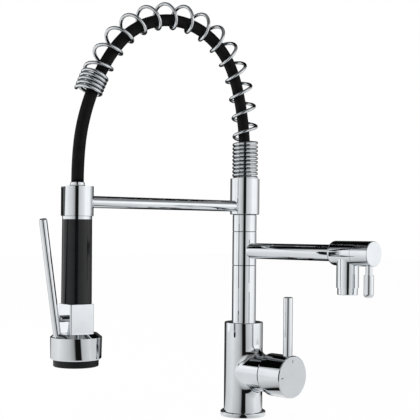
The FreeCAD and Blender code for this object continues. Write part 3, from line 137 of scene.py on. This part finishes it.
class TapFinishes(bpy.types.PropertyGroup):
    """Colours of the finishes as sRGB hex values."""

    chrome: bpy.props.StringProperty(
        name="Chrome", description="Polished chrome plate", default="#e3e6e9")
    chrome_film: bpy.props.StringProperty(
        name="Chrome film", description="Faint water film on the plate", default="#d3d8dc")
    wire: bpy.props.StringProperty(
        name="Spring wire", description="Bright chrome on drawn wire", default="#dde1e4")
    wire_film: bpy.props.StringProperty(
        name="Spring film", description="Duller chrome between the drawing lines", default="#c3c8cc")
    pin_steel: bpy.props.StringProperty(
        name="Pin steel", description="Ground steel of the pins and the plunger", default="#dfe1e3")
    steel: bpy.props.StringProperty(
        name="Steel", description="Turned stainless steel", default="#b9bcbf")
    brass: bpy.props.StringProperty(
        name="Brass", description="Machined brass", default="#c9a45c")
    acetal: bpy.props.StringProperty(
        name="Acetal", description="Moulded cartridge plastic", default="#d9d8d2")
    washer: bpy.props.StringProperty(
        name="Washers", description="Black acetal of the slide washers", default="#0b0c0d")
    rubber: bpy.props.StringProperty(
        name="Rubber", description="Extruded rubber of the hose", default="#050506")
    seal: bpy.props.StringProperty(
        name="Seal", description="Nitrile rubber of the seals", default="#1d1d1f")
    grip: bpy.props.StringProperty(
        name="Grip", description="Glossy ABS of the grip", default="#060709")
    nozzle: bpy.props.StringProperty(
        name="Nozzle", description="Satin ABS of the spray plate", default="#0a0b0d")
    silicone: bpy.props.StringProperty(
        name="Silicone", description="Soft nubs of the spray plate", default="#2b2e33")
    mark: bpy.props.StringProperty(
        name="Marks", description="Filled marks on the handle's face", default="#6c7176")


class TapStudio(bpy.types.PropertyGroup):
    """The camera and the colours of the studio."""

    lens: bpy.props.FloatProperty(
        name="Lens", description="Focal length on a sensor 36 mm wide", default=82.77, unit="CAMERA")
    distance: bpy.props.FloatProperty(
        name="Distance", description="Camera to the column along the view", default=1.069, unit="LENGTH")
    height: bpy.props.FloatProperty(
        name="Height", description="Camera above the deck", default=0.2003, unit="LENGTH")
    aside: bpy.props.FloatProperty(
        name="Aside", description="Column to the right of the view's middle", default=0.03816, unit="LENGTH")
    azimuth: bpy.props.FloatProperty(
        name="Azimuth", description="Camera round the column", default=math.radians(45.64), subtype="ANGLE")
    roll: bpy.props.FloatProperty(
        name="Roll", description="Tilt of the picture", default=math.radians(0.5), subtype="ANGLE")
    shift: bpy.props.FloatProperty(
        name="Shift", description="Rise of the view as a share of the frame", default=0.0557)
    floor: bpy.props.StringProperty(
        name="Floor", description="Pale floor", default="#fbfbfb")


def linear(colour):
    """A hex sRGB colour as linear red, green, blue and alpha."""
    parts = [int(colour[start:start + 2], 16) / 255 for start in (1, 3, 5)]
    return [part / 12.92 if part <= 0.04045 else ((part + 0.055) / 1.055) ** 2.4 for part in parts] + [1.0]


def add(tree, kind, inputs=(), **settings):
    """Add a node, set its fields, and fill its inputs with values or links."""
    node = tree.nodes.new(kind)
    for name, value in settings.items():
        setattr(node, name, value)
    for name, value in dict(inputs).items():
        if isinstance(value, bpy.types.NodeSocket):
            tree.links.new(value, node.inputs[name])
        else:
            node.inputs[name].default_value = value
    return node


def bare_material(name):
    """A material with an empty tree."""
    material = bpy.data.materials.new(name)
    material.use_nodes = True
    material.node_tree.nodes.clear()
    return material, material.node_tree


def new_material(name):
    """A material with its tree, its principled shader and the place on the object in metres."""
    material, tree = bare_material(name)
    shader = add(tree, "ShaderNodeBsdfPrincipled")
    add(tree, "ShaderNodeOutputMaterial", {"Surface": shader.outputs["BSDF"]})
    place = add(tree, "ShaderNodeTexCoord").outputs["Object"]
    return material, tree, shader, place


def pattern_scale(size_mm):
    """The scale that gives a pattern spots of this size, on coordinates in metres."""
    return 1000 / size_mm


def chrome_plate(finishes):
    # Bright chrome plate on polished brass: a clear, faintly blue mirror that only a film of dried water
    # and the haze of wiping dull a little
    material, tree, shader, place = new_material("polished_chrome_plate")
    film = add(tree, "ShaderNodeTexNoise", {"Vector": place, "Scale": pattern_scale(14.0), "Detail": 3.0})
    tone = add(tree, "ShaderNodeMix", {"Factor": film.outputs["Fac"], "A": linear(finishes.chrome),
                                       "B": linear(finishes.chrome_film)}, data_type="RGBA")
    wiping = add(tree, "ShaderNodeTexNoise", {"Vector": place, "Scale": pattern_scale(5.0), "Detail": 3.0})
    haze = add(tree, "ShaderNodeMapRange", {"Value": wiping.outputs["Fac"], "From Min": 0.35,
                                            "From Max": 0.75, "To Min": 0.015, "To Max": 0.04})
    # The plate follows the polished brass below it, with an orange-peel wave about 4 mm long
    peel = add(tree, "ShaderNodeTexNoise", {"Vector": place, "Scale": pattern_scale(4.0), "Detail": 1.0})
    wave = add(tree, "ShaderNodeBump", {"Height": peel.outputs["Fac"], "Strength": 0.012,
                                        "Distance": 0.0002})
    tree.links.new(tone.outputs["Result"], shader.inputs["Base Color"])
    tree.links.new(haze.outputs["Result"], shader.inputs["Roughness"])
    tree.links.new(wave.outputs["Normal"], shader.inputs["Normal"])
    shader.inputs["Metallic"].default_value = 1.0
    return material


def drawn_wire(name, bright, dull, smooth, rough):
    # Hard-drawn wire: the die leaves a fine lengthwise haze, so that a mirrored line is soft at its edges
    material, tree, shader, place = new_material(name)
    film = add(tree, "ShaderNodeTexNoise", {"Vector": place, "Scale": pattern_scale(6.0), "Detail": 3.0})
    tone = add(tree, "ShaderNodeMix", {"Factor": film.outputs["Fac"], "A": linear(bright),
                                       "B": linear(dull)}, data_type="RGBA")
    # Die lines are under 0.1 mm wide, too fine to show, so their haze is drawn in spots of 1.2 mm
    lines = add(tree, "ShaderNodeTexNoise", {"Vector": place, "Scale": pattern_scale(1.2), "Detail": 3.0})
    haze = add(tree, "ShaderNodeMapRange", {"Value": lines.outputs["Fac"], "To Min": smooth,
                                            "To Max": rough})
    tree.links.new(tone.outputs["Result"], shader.inputs["Base Color"])
    tree.links.new(haze.outputs["Result"], shader.inputs["Roughness"])
    shader.inputs["Metallic"].default_value = 1.0
    return material


def machined_metal(name, colour, smooth, rough, depth):
    # Bare metal off the lathe or the grinder: an even sheen with rings round the axis
    material, tree, shader, place = new_material(name)
    # The tool's lines are about 0.2 mm apart, too fine to show, so they are drawn 1.2 mm apart
    waves_per_unit_scale = 20
    scale = 2 * math.pi * pattern_scale(1.2) / waves_per_unit_scale
    lines = add(tree, "ShaderNodeTexWave", {"Vector": place, "Scale": scale, "Distortion": 1.5,
                                            "Detail": 2.0}, bands_direction="Z")
    sheen = add(tree, "ShaderNodeMapRange", {"Value": lines.outputs["Fac"], "To Min": smooth,
                                             "To Max": rough})
    stain = add(tree, "ShaderNodeTexNoise", {"Vector": place, "Scale": pattern_scale(3.0), "Detail": 3.0})
    stained_share = 0.82
    dull = [part * stained_share for part in linear(colour)[:3]] + [1.0]
    tone = add(tree, "ShaderNodeMix", {"Factor": stain.outputs["Fac"], "A": linear(colour), "B": dull},
               data_type="RGBA")
    relief = add(tree, "ShaderNodeBump", {"Height": lines.outputs["Fac"], "Strength": 0.1, "Distance": depth})
    tree.links.new(tone.outputs["Result"], shader.inputs["Base Color"])
    tree.links.new(sheen.outputs["Result"], shader.inputs["Roughness"])
    tree.links.new(relief.outputs["Normal"], shader.inputs["Normal"])
    shader.inputs["Metallic"].default_value = 1.0
    return material


def moulded(name, colour, smooth, rough, grit_mm, depth, ior=1.5, gloss=0.5):
    # Plastic or rubber from a mould or a die: one body colour, paler where hands and cloths rub it, on a skin
    # whose grit is under 0.1 mm and is drawn as coarse as grit_mm so that it shows
    material, tree, shader, place = new_material(name)
    rubbed_grits, marked_grits = 14, 6
    rubbing = add(tree, "ShaderNodeTexNoise", {"Vector": place, "Detail": 3.0,
                                               "Scale": pattern_scale(grit_mm * rubbed_grits)})
    rubbed_gain, rubbed_lift = 1.6, 0.004
    rubbed = [min(part * rubbed_gain + rubbed_lift, 1.0) for part in linear(colour)[:3]] + [1.0]
    tone = add(tree, "ShaderNodeMix", {"Factor": rubbing.outputs["Fac"], "A": linear(colour), "B": rubbed},
               data_type="RGBA")
    marks = add(tree, "ShaderNodeTexNoise", {"Vector": place, "Detail": 3.0,
                                             "Scale": pattern_scale(grit_mm * marked_grits)})
    skin = add(tree, "ShaderNodeMapRange", {"Value": marks.outputs["Fac"], "From Min": 0.3, "From Max": 0.7,
                                            "To Min": smooth, "To Max": rough})
    grit = add(tree, "ShaderNodeTexNoise", {"Vector": place, "Scale": pattern_scale(grit_mm), "Detail": 2.0})
    relief = add(tree, "ShaderNodeBump", {"Height": grit.outputs["Fac"], "Strength": 0.25, "Distance": depth})
    tree.links.new(tone.outputs["Result"], shader.inputs["Base Color"])
    tree.links.new(skin.outputs["Result"], shader.inputs["Roughness"])
    tree.links.new(relief.outputs["Normal"], shader.inputs["Normal"])
    shader.inputs["IOR"].default_value = ior
    shader.inputs["Specular IOR Level"].default_value = gloss
    return material


def dress(nodes, material):
    """Give CAD nodes their finish."""
    for name in nodes:
        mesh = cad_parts[name].data
        mesh.materials.clear()
        mesh.materials.append(material)


def tube_mesh(name, spots, ups, radius, sides):
    """A closed tube through points; ups are directions across the tube that keep it from twisting."""
    shape = bmesh.new()
    rings = []
    last = len(spots) - 1
    for index, spot in enumerate(spots):
        way = (spots[min(index + 1, last)] - spots[max(index - 1, 0)]).normalized()
        first = (ups[index] - way * ups[index].dot(way)).normalized()
        second = way.cross(first)
        rings.append([shape.verts.new(spot + (first * math.cos(angle) + second * math.sin(angle)) * radius)
                      for angle in (2 * math.pi * side / sides for side in range(sides))])
    for low, high in zip(rings, rings[1:]):
        for side in range(sides):
            after = (side + 1) % sides
            face = shape.faces.new((low[side], low[after], high[after], high[side]))
            face.smooth = True
    shape.faces.new(list(reversed(rings[0])))
    shape.faces.new(rings[-1])
    return placed(name, shape)


def placed(name, shape):
    """Turn a bmesh into an object of the scene."""
    bmesh.ops.recalc_face_normals(shape, faces=shape.faces[:])
    mesh = bpy.data.meshes.new(name)
    shape.to_mesh(mesh)
    shape.free()
    thing = bpy.data.objects.new(name, mesh)
    bpy.context.scene.collection.objects.link(thing)
    return thing


def in_plane(outward, height):
    """A point of the arm's plane."""
    return OUTWARD * outward + UP * height


def hose_line():
    """Points read from the smooth curve that has the route's points as its controls."""
    curve = bpy.data.curves.new("hose_line", "CURVE")
    curve.dimensions = "3D"
    spline = curve.splines.new("NURBS")
    spline.points.add(len(HOSE_ROUTE) - 1)
    for point, (outward, height) in zip(spline.points, HOSE_ROUTE):
        point.co = (*in_plane(outward, height), 1.0)
    spline.order_u = 3
    spline.use_endpoint_u = True
    spline.resolution_u = 12
    holder = bpy.data.objects.new("hose_line", curve)
    bpy.context.scene.collection.objects.link(holder)
    bpy.context.view_layer.update()
    mesh = bpy.data.meshes.new_from_object(holder)
    spots = [vertex.co.copy() for vertex in mesh.vertices]
    bpy.data.objects.remove(holder)
    bpy.data.meshes.remove(mesh)
    return spots


class SpringLine:
    """Middle line of the arch spring: a straight foot and four tangent bends in the arm's plane."""

    REACH = 0.207
    # The last radius follows from the reach
    RADIUS_SHARES = (1.0386, 0.4155, 0.459)
    BENDS = tuple(math.radians(angle) for angle in (18.0, 70.0, 56.0, 36.0))
    # Heights of the foot and of the last bend's end, and the share of that bend that the spring covers
    FOOT = 0.25505
    END = 0.2612
    END_SHARE = 0.41

    def __init__(self, play):
        self.radii = [share * self.REACH for share in self.RADIUS_SHARES]
        outward, rise, heading = 0.0, 0.0, 0.0
        for radius, bend in zip(self.radii, self.BENDS):
            outward += radius * (math.cos(heading) - math.cos(heading + bend))
            rise += radius * (math.sin(heading + bend) - math.sin(heading))
            heading += bend
        self.radii.append((self.REACH + play - outward) / (1 + math.cos(heading)))
        self.straight = self.END + self.radii[-1] * math.sin(heading) - rise - self.FOOT
        full = sum(radius * bend for radius, bend in zip(self.radii[:-1], self.BENDS))
        self.length = self.straight + full + self.END_SHARE * self.radii[-1] * self.BENDS[-1]

    def at(self, distance):
        """The point and the outward normal at a distance along the line."""
        outward, height, heading = 0.0, self.FOOT + min(distance, self.straight), 0.0
        distance -= self.straight
        for radius, bend in zip(self.radii, self.BENDS):
            if distance <= 0:
                break
            reached = heading + min(distance / radius, bend)
            outward += radius * (math.cos(heading) - math.cos(reached))
            height += radius * (math.sin(reached) - math.sin(heading))
            distance -= radius * bend
            heading = reached
        normal = OUTWARD * math.cos(heading) - UP * math.sin(heading)
        return in_plane(outward, height), normal


class TAP_OT_hose(bpy.types.Operator):
    """Lay the rubber hose through the spring and down to the handset"""
    bl_idname = "tap.hose"
    bl_label = "Hose"

    SIDES = 24
    # The line from start to end leans outward, so that the hose's foot in the riser lies before its start
    BLEND_START = (0.1977, 0.3269)
    BLEND_END = (0.2213, 0.2676)

    def execute(self, context):
        sizes, finishes = context.scene.tap_sizes, context.scene.tap_finishes
        spots = hose_line()
        hose = tube_mesh("rubber_hose", spots, [ACROSS] * len(spots), sizes.hose_diameter / 2, self.SIDES)
        # EPDM rubber from a die: soft black with a broad, weak shine
        hose.data.materials.append(
            moulded("extruded_epdm_rubber", finishes.rubber, smooth=0.45, rough=0.6, grit_mm=0.5,
                    depth=0.00005, gloss=0.1))
        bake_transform(hose)
        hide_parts("hose_arch", "hose_drop")
        return {"FINISHED"}


class TAP_OT_spring(bpy.types.Operator):
    """Wind the arch spring over the hose"""
    bl_idname = "tap.spring"
    bl_label = "Arch spring"

    SIDES = 16
    STEPS_PER_TURN = 32
    START_ANGLE = math.radians(-144.0)
    # Turns over which the pitch goes from close to open
    EASE_TURNS = 1.0
    # Share of the play on the hose by which the free end hangs outward
    SAG_SHARE = 0.84

    def execute(self, context):
        sizes, finishes = context.scene.tap_sizes, context.scene.tap_finishes
        play = (sizes.coil_diameter - sizes.wire_diameter - sizes.hose_diameter) / 2
        line = SpringLine(self.SAG_SHARE * play)
        close_turns = sizes.socket_turns + sizes.end_turns
        open_pitch = (line.length - close_turns * sizes.close_pitch) / sizes.open_turns
        turns = close_turns + sizes.open_turns

        def pitch(turn):
            rise = (turn - sizes.socket_turns) / self.EASE_TURNS + 0.5
            fall = (turns - sizes.end_turns - turn) / self.EASE_TURNS + 0.5
            share = min(max(min(rise, fall), 0.0), 1.0)
            return sizes.close_pitch + (open_pitch - sizes.close_pitch) * share * share * (3 - 2 * share)

        spots, ups = [], []
        lead = 0.0
        steps = turns * self.STEPS_PER_TURN
        for step in range(steps + 1):
            turn = step / self.STEPS_PER_TURN
            spot, normal = line.at(lead)
            angle = self.START_ANGLE + 2 * math.pi * turn
            side = normal.cross(ACROSS).cross(normal)
            up = normal * math.cos(angle) + side * math.sin(angle)
            spots.append(spot + up * sizes.coil_diameter / 2)
            ups.append(up)
            lead += pitch(turn + 0.5 / self.STEPS_PER_TURN) / self.STEPS_PER_TURN
        spring = tube_mesh("arch_coil", spots, ups, sizes.wire_diameter / 2, self.SIDES)
        # Chrome-plated spring wire: almost as clear a mirror as the tubes
        spring.data.materials.append(
            drawn_wire("chromed_spring_wire", finishes.wire, finishes.wire_film, smooth=0.03, rough=0.07))
        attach(spring, "spring_arm")
        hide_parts("arch_spring")
        return {"FINISHED"}


class TAP_OT_plunger_spring(bpy.types.Operator):
    """Wind the small spring behind the trigger's plunger"""
    bl_idname = "tap.plunger_spring"
    bl_label = "Plunger spring"

    SIDES = 10
    STEPS_PER_TURN = 24
    TURNS = 3
    LENGTH = 0.005
    # Outward places of the bore's end and of the first turn, and the height of the plunger
    BORE_END = 0.2030
    START = 0.2035
    HEIGHT = 0.116
    # Share of the spring's length that a full squeeze leaves
    KEEP = 0.67

    def execute(self, context):
        sizes, finishes = context.scene.tap_sizes, context.scene.tap_finishes
        spots, ups = [], []
        for step in range(self.TURNS * self.STEPS_PER_TURN + 1):
            turn = step / self.STEPS_PER_TURN
            angle = 2 * math.pi * turn
            up = UP * math.cos(angle) + ACROSS * math.sin(angle)
            outward = self.START + self.LENGTH / self.TURNS * turn
            spots.append(in_plane(outward, self.HEIGHT) + up * sizes.plunger_coil / 2)
            ups.append(up)
        spring = tube_mesh("plunger_coil", spots, ups, sizes.plunger_wire / 2, self.SIDES)
        # Bare stainless spring wire: satin grey
        spring.data.materials.append(
            drawn_wire("drawn_stainless_wire", finishes.steel, finishes.wire_film, smooth=0.2, rough=0.35))
        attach(spring, "handset")
        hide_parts("plunger_spring")
        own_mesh(spring)
        return {"FINISHED"}


class TAP_OT_nubs(bpy.types.Operator):
    """Set the soft spray nubs in the holes of the spray plate"""
    bl_idname = "tap.nubs"
    bl_label = "Spray nubs"

    # Count and radius of each ring of nubs
    RINGS = ((10, 0.011), (18, 0.0175))
    # A nub's outline: shares of its radius and of its height
    PROFILE_SHARES = (
        (0.62, 0.0), (1.0, 0.0), (0.92, 0.55), (0.74, 0.92), (0.5, 1.0), (0.36, 0.82), (0.34, 0.0),
    )
    SIDES = 14

    def execute(self, context):
        sizes, finishes = context.scene.tap_sizes, context.scene.tap_finishes
        low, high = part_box("nozzle_plate")
        centre = Vector(((low.x + high.x) / 2, (low.y + high.y) / 2, low.z))
        shape = bmesh.new()
        for count, far in self.RINGS:
            for index in range(count):
                angle = ARM_ANGLE + 2 * math.pi * index / count
                foot = centre + Vector((math.cos(angle), math.sin(angle), 0)) * far
                self.nub(shape, foot, sizes.nub_diameter / 2, sizes.nub_height)
        nubs = placed("spray_nubs", shape)
        # Silicone from a fine mould: dark grey and soft to the eye
        nubs.data.materials.append(
            moulded("moulded_silicone", finishes.silicone, smooth=0.45, rough=0.6, grit_mm=0.3,
                    depth=0.00002))
        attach(nubs, "handset")
        return {"FINISHED"}

    def nub(self, shape, foot, radius, height):
        """Turn one hollow nub about its foot, pointing down."""
        rings = []
        for out, down in self.PROFILE_SHARES:
            rings.append([shape.verts.new(foot + Vector((
                math.cos(turn) * out * radius, math.sin(turn) * out * radius, -down * height)))
                for turn in (2 * math.pi * side / self.SIDES for side in range(self.SIDES))])
        for inner, outer in zip(rings, rings[1:] + rings[:1]):
            for side in range(self.SIDES):
                after = (side + 1) % self.SIDES
                shape.faces.new((inner[side], inner[after], outer[after], outer[side])).smooth = True


class TAP_OT_finishes(bpy.types.Operator):
    """Give every rigid piece its finish"""
    bl_idname = "tap.finishes"
    bl_label = "Finishes"

    def execute(self, context):
        finishes = context.scene.tap_finishes
        dress(CHROME_NODES, chrome_plate(finishes))
        # Turned stainless steel screws and ferrule: satin grey
        dress(STEEL_NODES, machined_metal(
            "turned_stainless_steel", finishes.steel, smooth=0.22, rough=0.36, depth=0.0001))
        # Centreless-ground stainless pins: nearly as bright as the chrome
        dress(PIN_NODES, machined_metal(
            "ground_stainless_steel", finishes.pin_steel, smooth=0.05, rough=0.1, depth=0.00001))
        # Bare brass of the waterways: warm yellow, satin from the lathe
        dress(BRASS_NODES, machined_metal(
            "machined_brass", finishes.brass, smooth=0.22, rough=0.36, depth=0.0001))
        # Acetal from a polished mould: waxy and half matt, natural in the cartridge and black in the washers
        dress(ACETAL_NODES, moulded(
            "moulded_acetal", finishes.acetal, smooth=0.35, rough=0.5, grit_mm=0.6, depth=0.00002,
            ior=1.48))
        dress(WASHER_NODES, moulded(
            "moulded_black_acetal", finishes.washer, smooth=0.35, rough=0.5, grit_mm=0.6, depth=0.00002,
            ior=1.48))
        # Nitrile rubber from a fine mould: dead black and matt
        dress(SEAL_NODES, moulded(
            "moulded_nitrile_rubber", finishes.seal, smooth=0.55, rough=0.7, grit_mm=0.4, depth=0.00003,
            ior=1.52))
        # ABS from a polished mould: black, with clear lines of light
        dress(GRIP_NODES, moulded(
            "glossy_moulded_abs", finishes.grip, smooth=0.08, rough=0.14, grit_mm=0.8, depth=0.00001,
            ior=1.54, gloss=0.3))
        # ABS from a fine-eroded mould: black and satin
        dress(NOZZLE_NODES, moulded(
            "satin_moulded_abs", finishes.nozzle, smooth=0.32, rough=0.45, grit_mm=0.5, depth=0.00002,
            ior=1.54, gloss=0.18))
        # Enamel wiped into the engraved marks: grey and half matt
        dress(MARK_NODES, moulded(
            "wiped_enamel", finishes.mark, smooth=0.3, rough=0.45, grit_mm=0.3, depth=0.00001))
        return {"FINISHED"}


class TAP_OT_studio(bpy.types.Operator):
    """Set up the floor, the white surround, the soft lamps, the mirrored cards and the camera"""
    bl_idname = "tap.studio"
    bl_label = "Studio"

    # Light of the surround that the chrome mirrors, by bearing in degrees from the side that the photo shows
    SURROUND = (
        (-180, 0.05), (-132, 0.05), (-120, 1.0), (-70, 1.2), (-56, 1.05), (-30, 0.8), (-16, 0.5), (-10, 0.01),
        (8, 0.01), (12, 0.75), (50, 1.1), (62, 1.35), (104, 1.25), (118, 0.7), (140, 0.4), (152, 0.05),
        (180, 0.05),
    )
    # Rings of the surround, from the floor at the tap up the wall and over the ceiling: distance, height and
    # share of the light
    RINGS = (
        (0.026, 0.0005, 0.75), (1.6, 0.0005, 0.9), (1.6, 0.7, 1.0), (1.6, 1.2, 0.25), (1.6, 3.0, 0.2),
        (0.05, 3.0, 0.35),
    )
    # Degrees between two columns of the surround
    STEP = 2
    # Cards that only the chrome mirrors: light, and three corners from which the fourth follows
    CARDS = {
        "black_card_overhead": (0.002, (-1.2, -1.05, 0.8), (-1.2, 1.4, 0.8), (-1.2, -1.05, 2.8)),
        "black_card_behind": (0.002, (-1.6, 1.4, 0.8), (0.7, 1.4, 0.8), (-1.6, 1.4, 2.95)),
        # Painted shadow: a black sheet on the floor behind the tap stands in for the tap's shadow there,
        # since the floor shows mirrors nearly white
        "painted_shadow_floor_behind": (0.002, (-0.6, 0.04, 0.001), (0.0, 0.04, 0.001), (-0.6, 0.35, 0.001)),
        # Painted shadow: a grey sheet on the floor behind and right of the tap stands in for the tap's
        # lighter shadow there
        "painted_shadow_floor_right": (0.82, (0.14, 0.08, 0.001), (0.6, 0.08, 0.001), (0.14, 0.6, 0.001)),
        "white_card_left": (1.2, (-0.822, -0.354, 0.002), (-0.678, -0.726, 0.002), (-0.822, -0.354, 0.5)),
    }
    # Soft lamps: place, width and power, all aimed at the middle of the tap
    LAMPS = {
        "key_lamp": ((0.9, -1.6, 1.6), 1.4, 26.0),
        "fill_lamp": ((-1.8, -0.9, 1.2), 1.4, 16.0),
    }
    LAMP_AIM = Vector((0, -0.05, 0.2))
    # Strength of the world as light; it shows as plain white
    WORLD_LIGHT = 0.55
    # Half the floor's side, and how white it shows; the rest of it takes the tap's shadow
    FLOOR_REACH = 6.0
    FLOOR_WHITE = 0.97
    SENSOR_MM = 36.0

    def execute(self, context):
        studio = context.scene.tap_studio
        self.white_surround(context.scene)
        self.pale_floor(studio)
        self.mirrored_surround(studio)
        for name, (light, *corners) in self.CARDS.items():
            self.card(name, light, *[Vector(corner) for corner in corners])
        for name, (spot, size, power) in self.LAMPS.items():
            self.lamp(name, Vector(spot), size, power)
        self.camera(context.scene, studio)
        context.scene.view_settings.view_transform = "Standard"
        return {"FINISHED"}

    def white_surround(self, scene):
        """A world that shows white and lights the tap softly."""
        world = bpy.data.worlds.new("white_surround")
        scene.world = world
        world.use_nodes = True
        tree = world.node_tree
        tree.nodes.clear()
        seen = self.seen_directly(tree)
        soft = add(tree, "ShaderNodeBackground", {"Color": WHITE, "Strength": self.WORLD_LIGHT})
        plain = add(tree, "ShaderNodeBackground", {"Color": WHITE, "Strength": 1.0})
        both = add(tree, "ShaderNodeMixShader", {0: seen, 1: soft.outputs[0], 2: plain.outputs[0]})
        add(tree, "ShaderNodeOutputWorld", {"Surface": both.outputs[0]})

    def seen_directly(self, tree):
        """One for what the camera, a mirror or glass shows, and nought for what only lights other things."""
        path = add(tree, "ShaderNodeLightPath")
        first = add(tree, "ShaderNodeMath", {0: path.outputs["Is Camera Ray"],
                                             1: path.outputs["Is Glossy Ray"]}, operation="MAXIMUM")
        either = add(tree, "ShaderNodeMath", {0: first.outputs[0], 1: path.outputs["Is Transmission Ray"]},
                     operation="MAXIMUM")
        return either.outputs[0]

    def pale_floor(self, studio):
        """A matt floor that shows nearly white."""
        shape = bmesh.new()
        bmesh.ops.create_grid(shape, x_segments=1, y_segments=1, size=self.FLOOR_REACH)
        floor = placed("pale_floor", shape)
        material, tree = bare_material("pale_floor")
        matt = add(tree, "ShaderNodeBsdfDiffuse", {"Color": linear(studio.floor)})
        white = add(tree, "ShaderNodeEmission", {"Color": WHITE, "Strength": 1.0})
        share = add(tree, "ShaderNodeMath", {0: self.seen_directly(tree), 1: self.FLOOR_WHITE},
                    operation="MULTIPLY")
        both = add(tree, "ShaderNodeMixShader", {0: share.outputs[0], 1: matt.outputs[0],
                                                 2: white.outputs[0]})
        add(tree, "ShaderNodeOutputMaterial", {"Surface": both.outputs[0]})
        floor.data.materials.append(material)

    def level(self, bearing):
        """Light of the surround at a bearing, between the two stops beside it."""
        for (before, dark), (after, light) in zip(self.SURROUND, self.SURROUND[1:]):
            if before <= bearing <= after:
                return dark + (light - dark) * (bearing - before) / (after - before)

    def mirrored_surround(self, studio):
        """A lit wall and floor round the tap that only mirrors show."""
        shape = bmesh.new()
        light = shape.verts.layers.float.new("light")
        columns = []
        for bearing in range(-180, 181, self.STEP):
            angle = studio.azimuth + math.radians(bearing)
            back = Vector((math.sin(angle), -math.cos(angle), 0))
            column = []
            for distance, height, share in self.RINGS:
                vert = shape.verts.new(back * distance + UP * height)
                vert[light] = self.level(bearing) * share
                column.append(vert)
            columns.append(column)
        for left, right in zip(columns, columns[1:]):
            for index in range(len(self.RINGS) - 1):
                shape.faces.new((left[index], right[index], right[index + 1], left[index + 1]))
        wall = placed("mirrored_surround", shape)
        material, tree = bare_material("mirrored_surround")
        stored = add(tree, "ShaderNodeAttribute", attribute_name="light")
        glow = add(tree, "ShaderNodeEmission", {"Color": WHITE, "Strength": stored.outputs["Fac"]})
        add(tree, "ShaderNodeOutputMaterial", {"Surface": glow.outputs[0]})
        self.mirror_only(wall, material)

    def card(self, name, light, corner, along, across):
        """A flat card with an even light."""
        shape = bmesh.new()
        shape.faces.new([shape.verts.new(spot) for spot in (corner, along, along + across - corner, across)])
        panel = placed(name, shape)
        material, tree = bare_material(name)
        glow = add(tree, "ShaderNodeEmission", {"Color": WHITE, "Strength": light})
        add(tree, "ShaderNodeOutputMaterial", {"Surface": glow.outputs[0]})
        self.mirror_only(panel, material)

    def mirror_only(self, thing, material):
        """Leave a thing of the studio to mirrors alone."""
        thing.data.materials.append(material)
        thing.visible_camera = False
        thing.visible_diffuse = False
        thing.visible_shadow = False

    def lamp(self, name, spot, size, power):
        """A round soft lamp that mirrors don't show."""
        light = bpy.data.lights.new(name, "AREA")
        light.shape = "DISK"
        light.size = size
        light.energy = power
        holder = bpy.data.objects.new(name, light)
        holder.location = spot
        holder.rotation_euler = (self.LAMP_AIM - spot).to_track_quat("-Z", "Y").to_euler()
        holder.visible_camera = False
        holder.visible_glossy = False
        bpy.context.scene.collection.objects.link(holder)

    def camera(self, scene, studio):
        """A level camera with a shifted lens, as in the photo."""
        lens = bpy.data.cameras.new("camera")
        lens.sensor_width = self.SENSOR_MM
        lens.lens = studio.lens
        lens.shift_y = studio.shift
        holder = bpy.data.objects.new("camera", lens)
        scene.collection.objects.link(holder)
        back = Vector((math.sin(studio.azimuth), -math.cos(studio.azimuth), 0))
        right = UP.cross(back)
        holder.location = back * studio.distance - right * studio.aside + UP * studio.height
        aim = Euler((math.pi / 2, 0, studio.azimuth)).to_matrix() @ Matrix.Rotation(studio.roll, 3, "Z")
        holder.rotation_euler = aim.to_euler()
        scene.camera = holder


class TAP_PT_panel(bpy.types.Panel):
    """Steps that dress the tap"""
    bl_idname = "TAP_PT_panel"
    bl_label = "Kitchen mixer tap"
    bl_space_type = "VIEW_3D"
    bl_region_type = "UI"
    bl_category = "Tap"

    def draw(self, context):
        for operator in OPERATORS:
            self.layout.operator(operator.bl_idname)
        for group in (context.scene.tap_sizes, context.scene.tap_finishes, context.scene.tap_studio):
            for name in group.__annotations__:
                self.layout.prop(group, name)


OPERATORS = (TAP_OT_finishes, TAP_OT_hose, TAP_OT_spring, TAP_OT_plunger_spring, TAP_OT_nubs, TAP_OT_studio)
GROUPS = {"tap_sizes": TapSizes, "tap_finishes": TapFinishes, "tap_studio": TapStudio}


def register():
    for kind in (*GROUPS.values(), *OPERATORS, TAP_PT_panel):
        bpy.utils.register_class(kind)
    for name, group in GROUPS.items():
        setattr(bpy.types.Scene, name, bpy.props.PointerProperty(type=group))


def unregister():
    for name in GROUPS:
        delattr(bpy.types.Scene, name)
    for kind in reversed((*GROUPS.values(), *OPERATORS, TAP_PT_panel)):
        bpy.utils.unregister_class(kind)


def main():
    register()
    bpy.ops.tap.finishes()
    bpy.ops.tap.hose()
    bpy.ops.tap.spring()
    bpy.ops.tap.plunger_spring()
    bpy.ops.tap.nubs()
    bpy.ops.tap.studio()


if __name__ == "__main__":
    main()
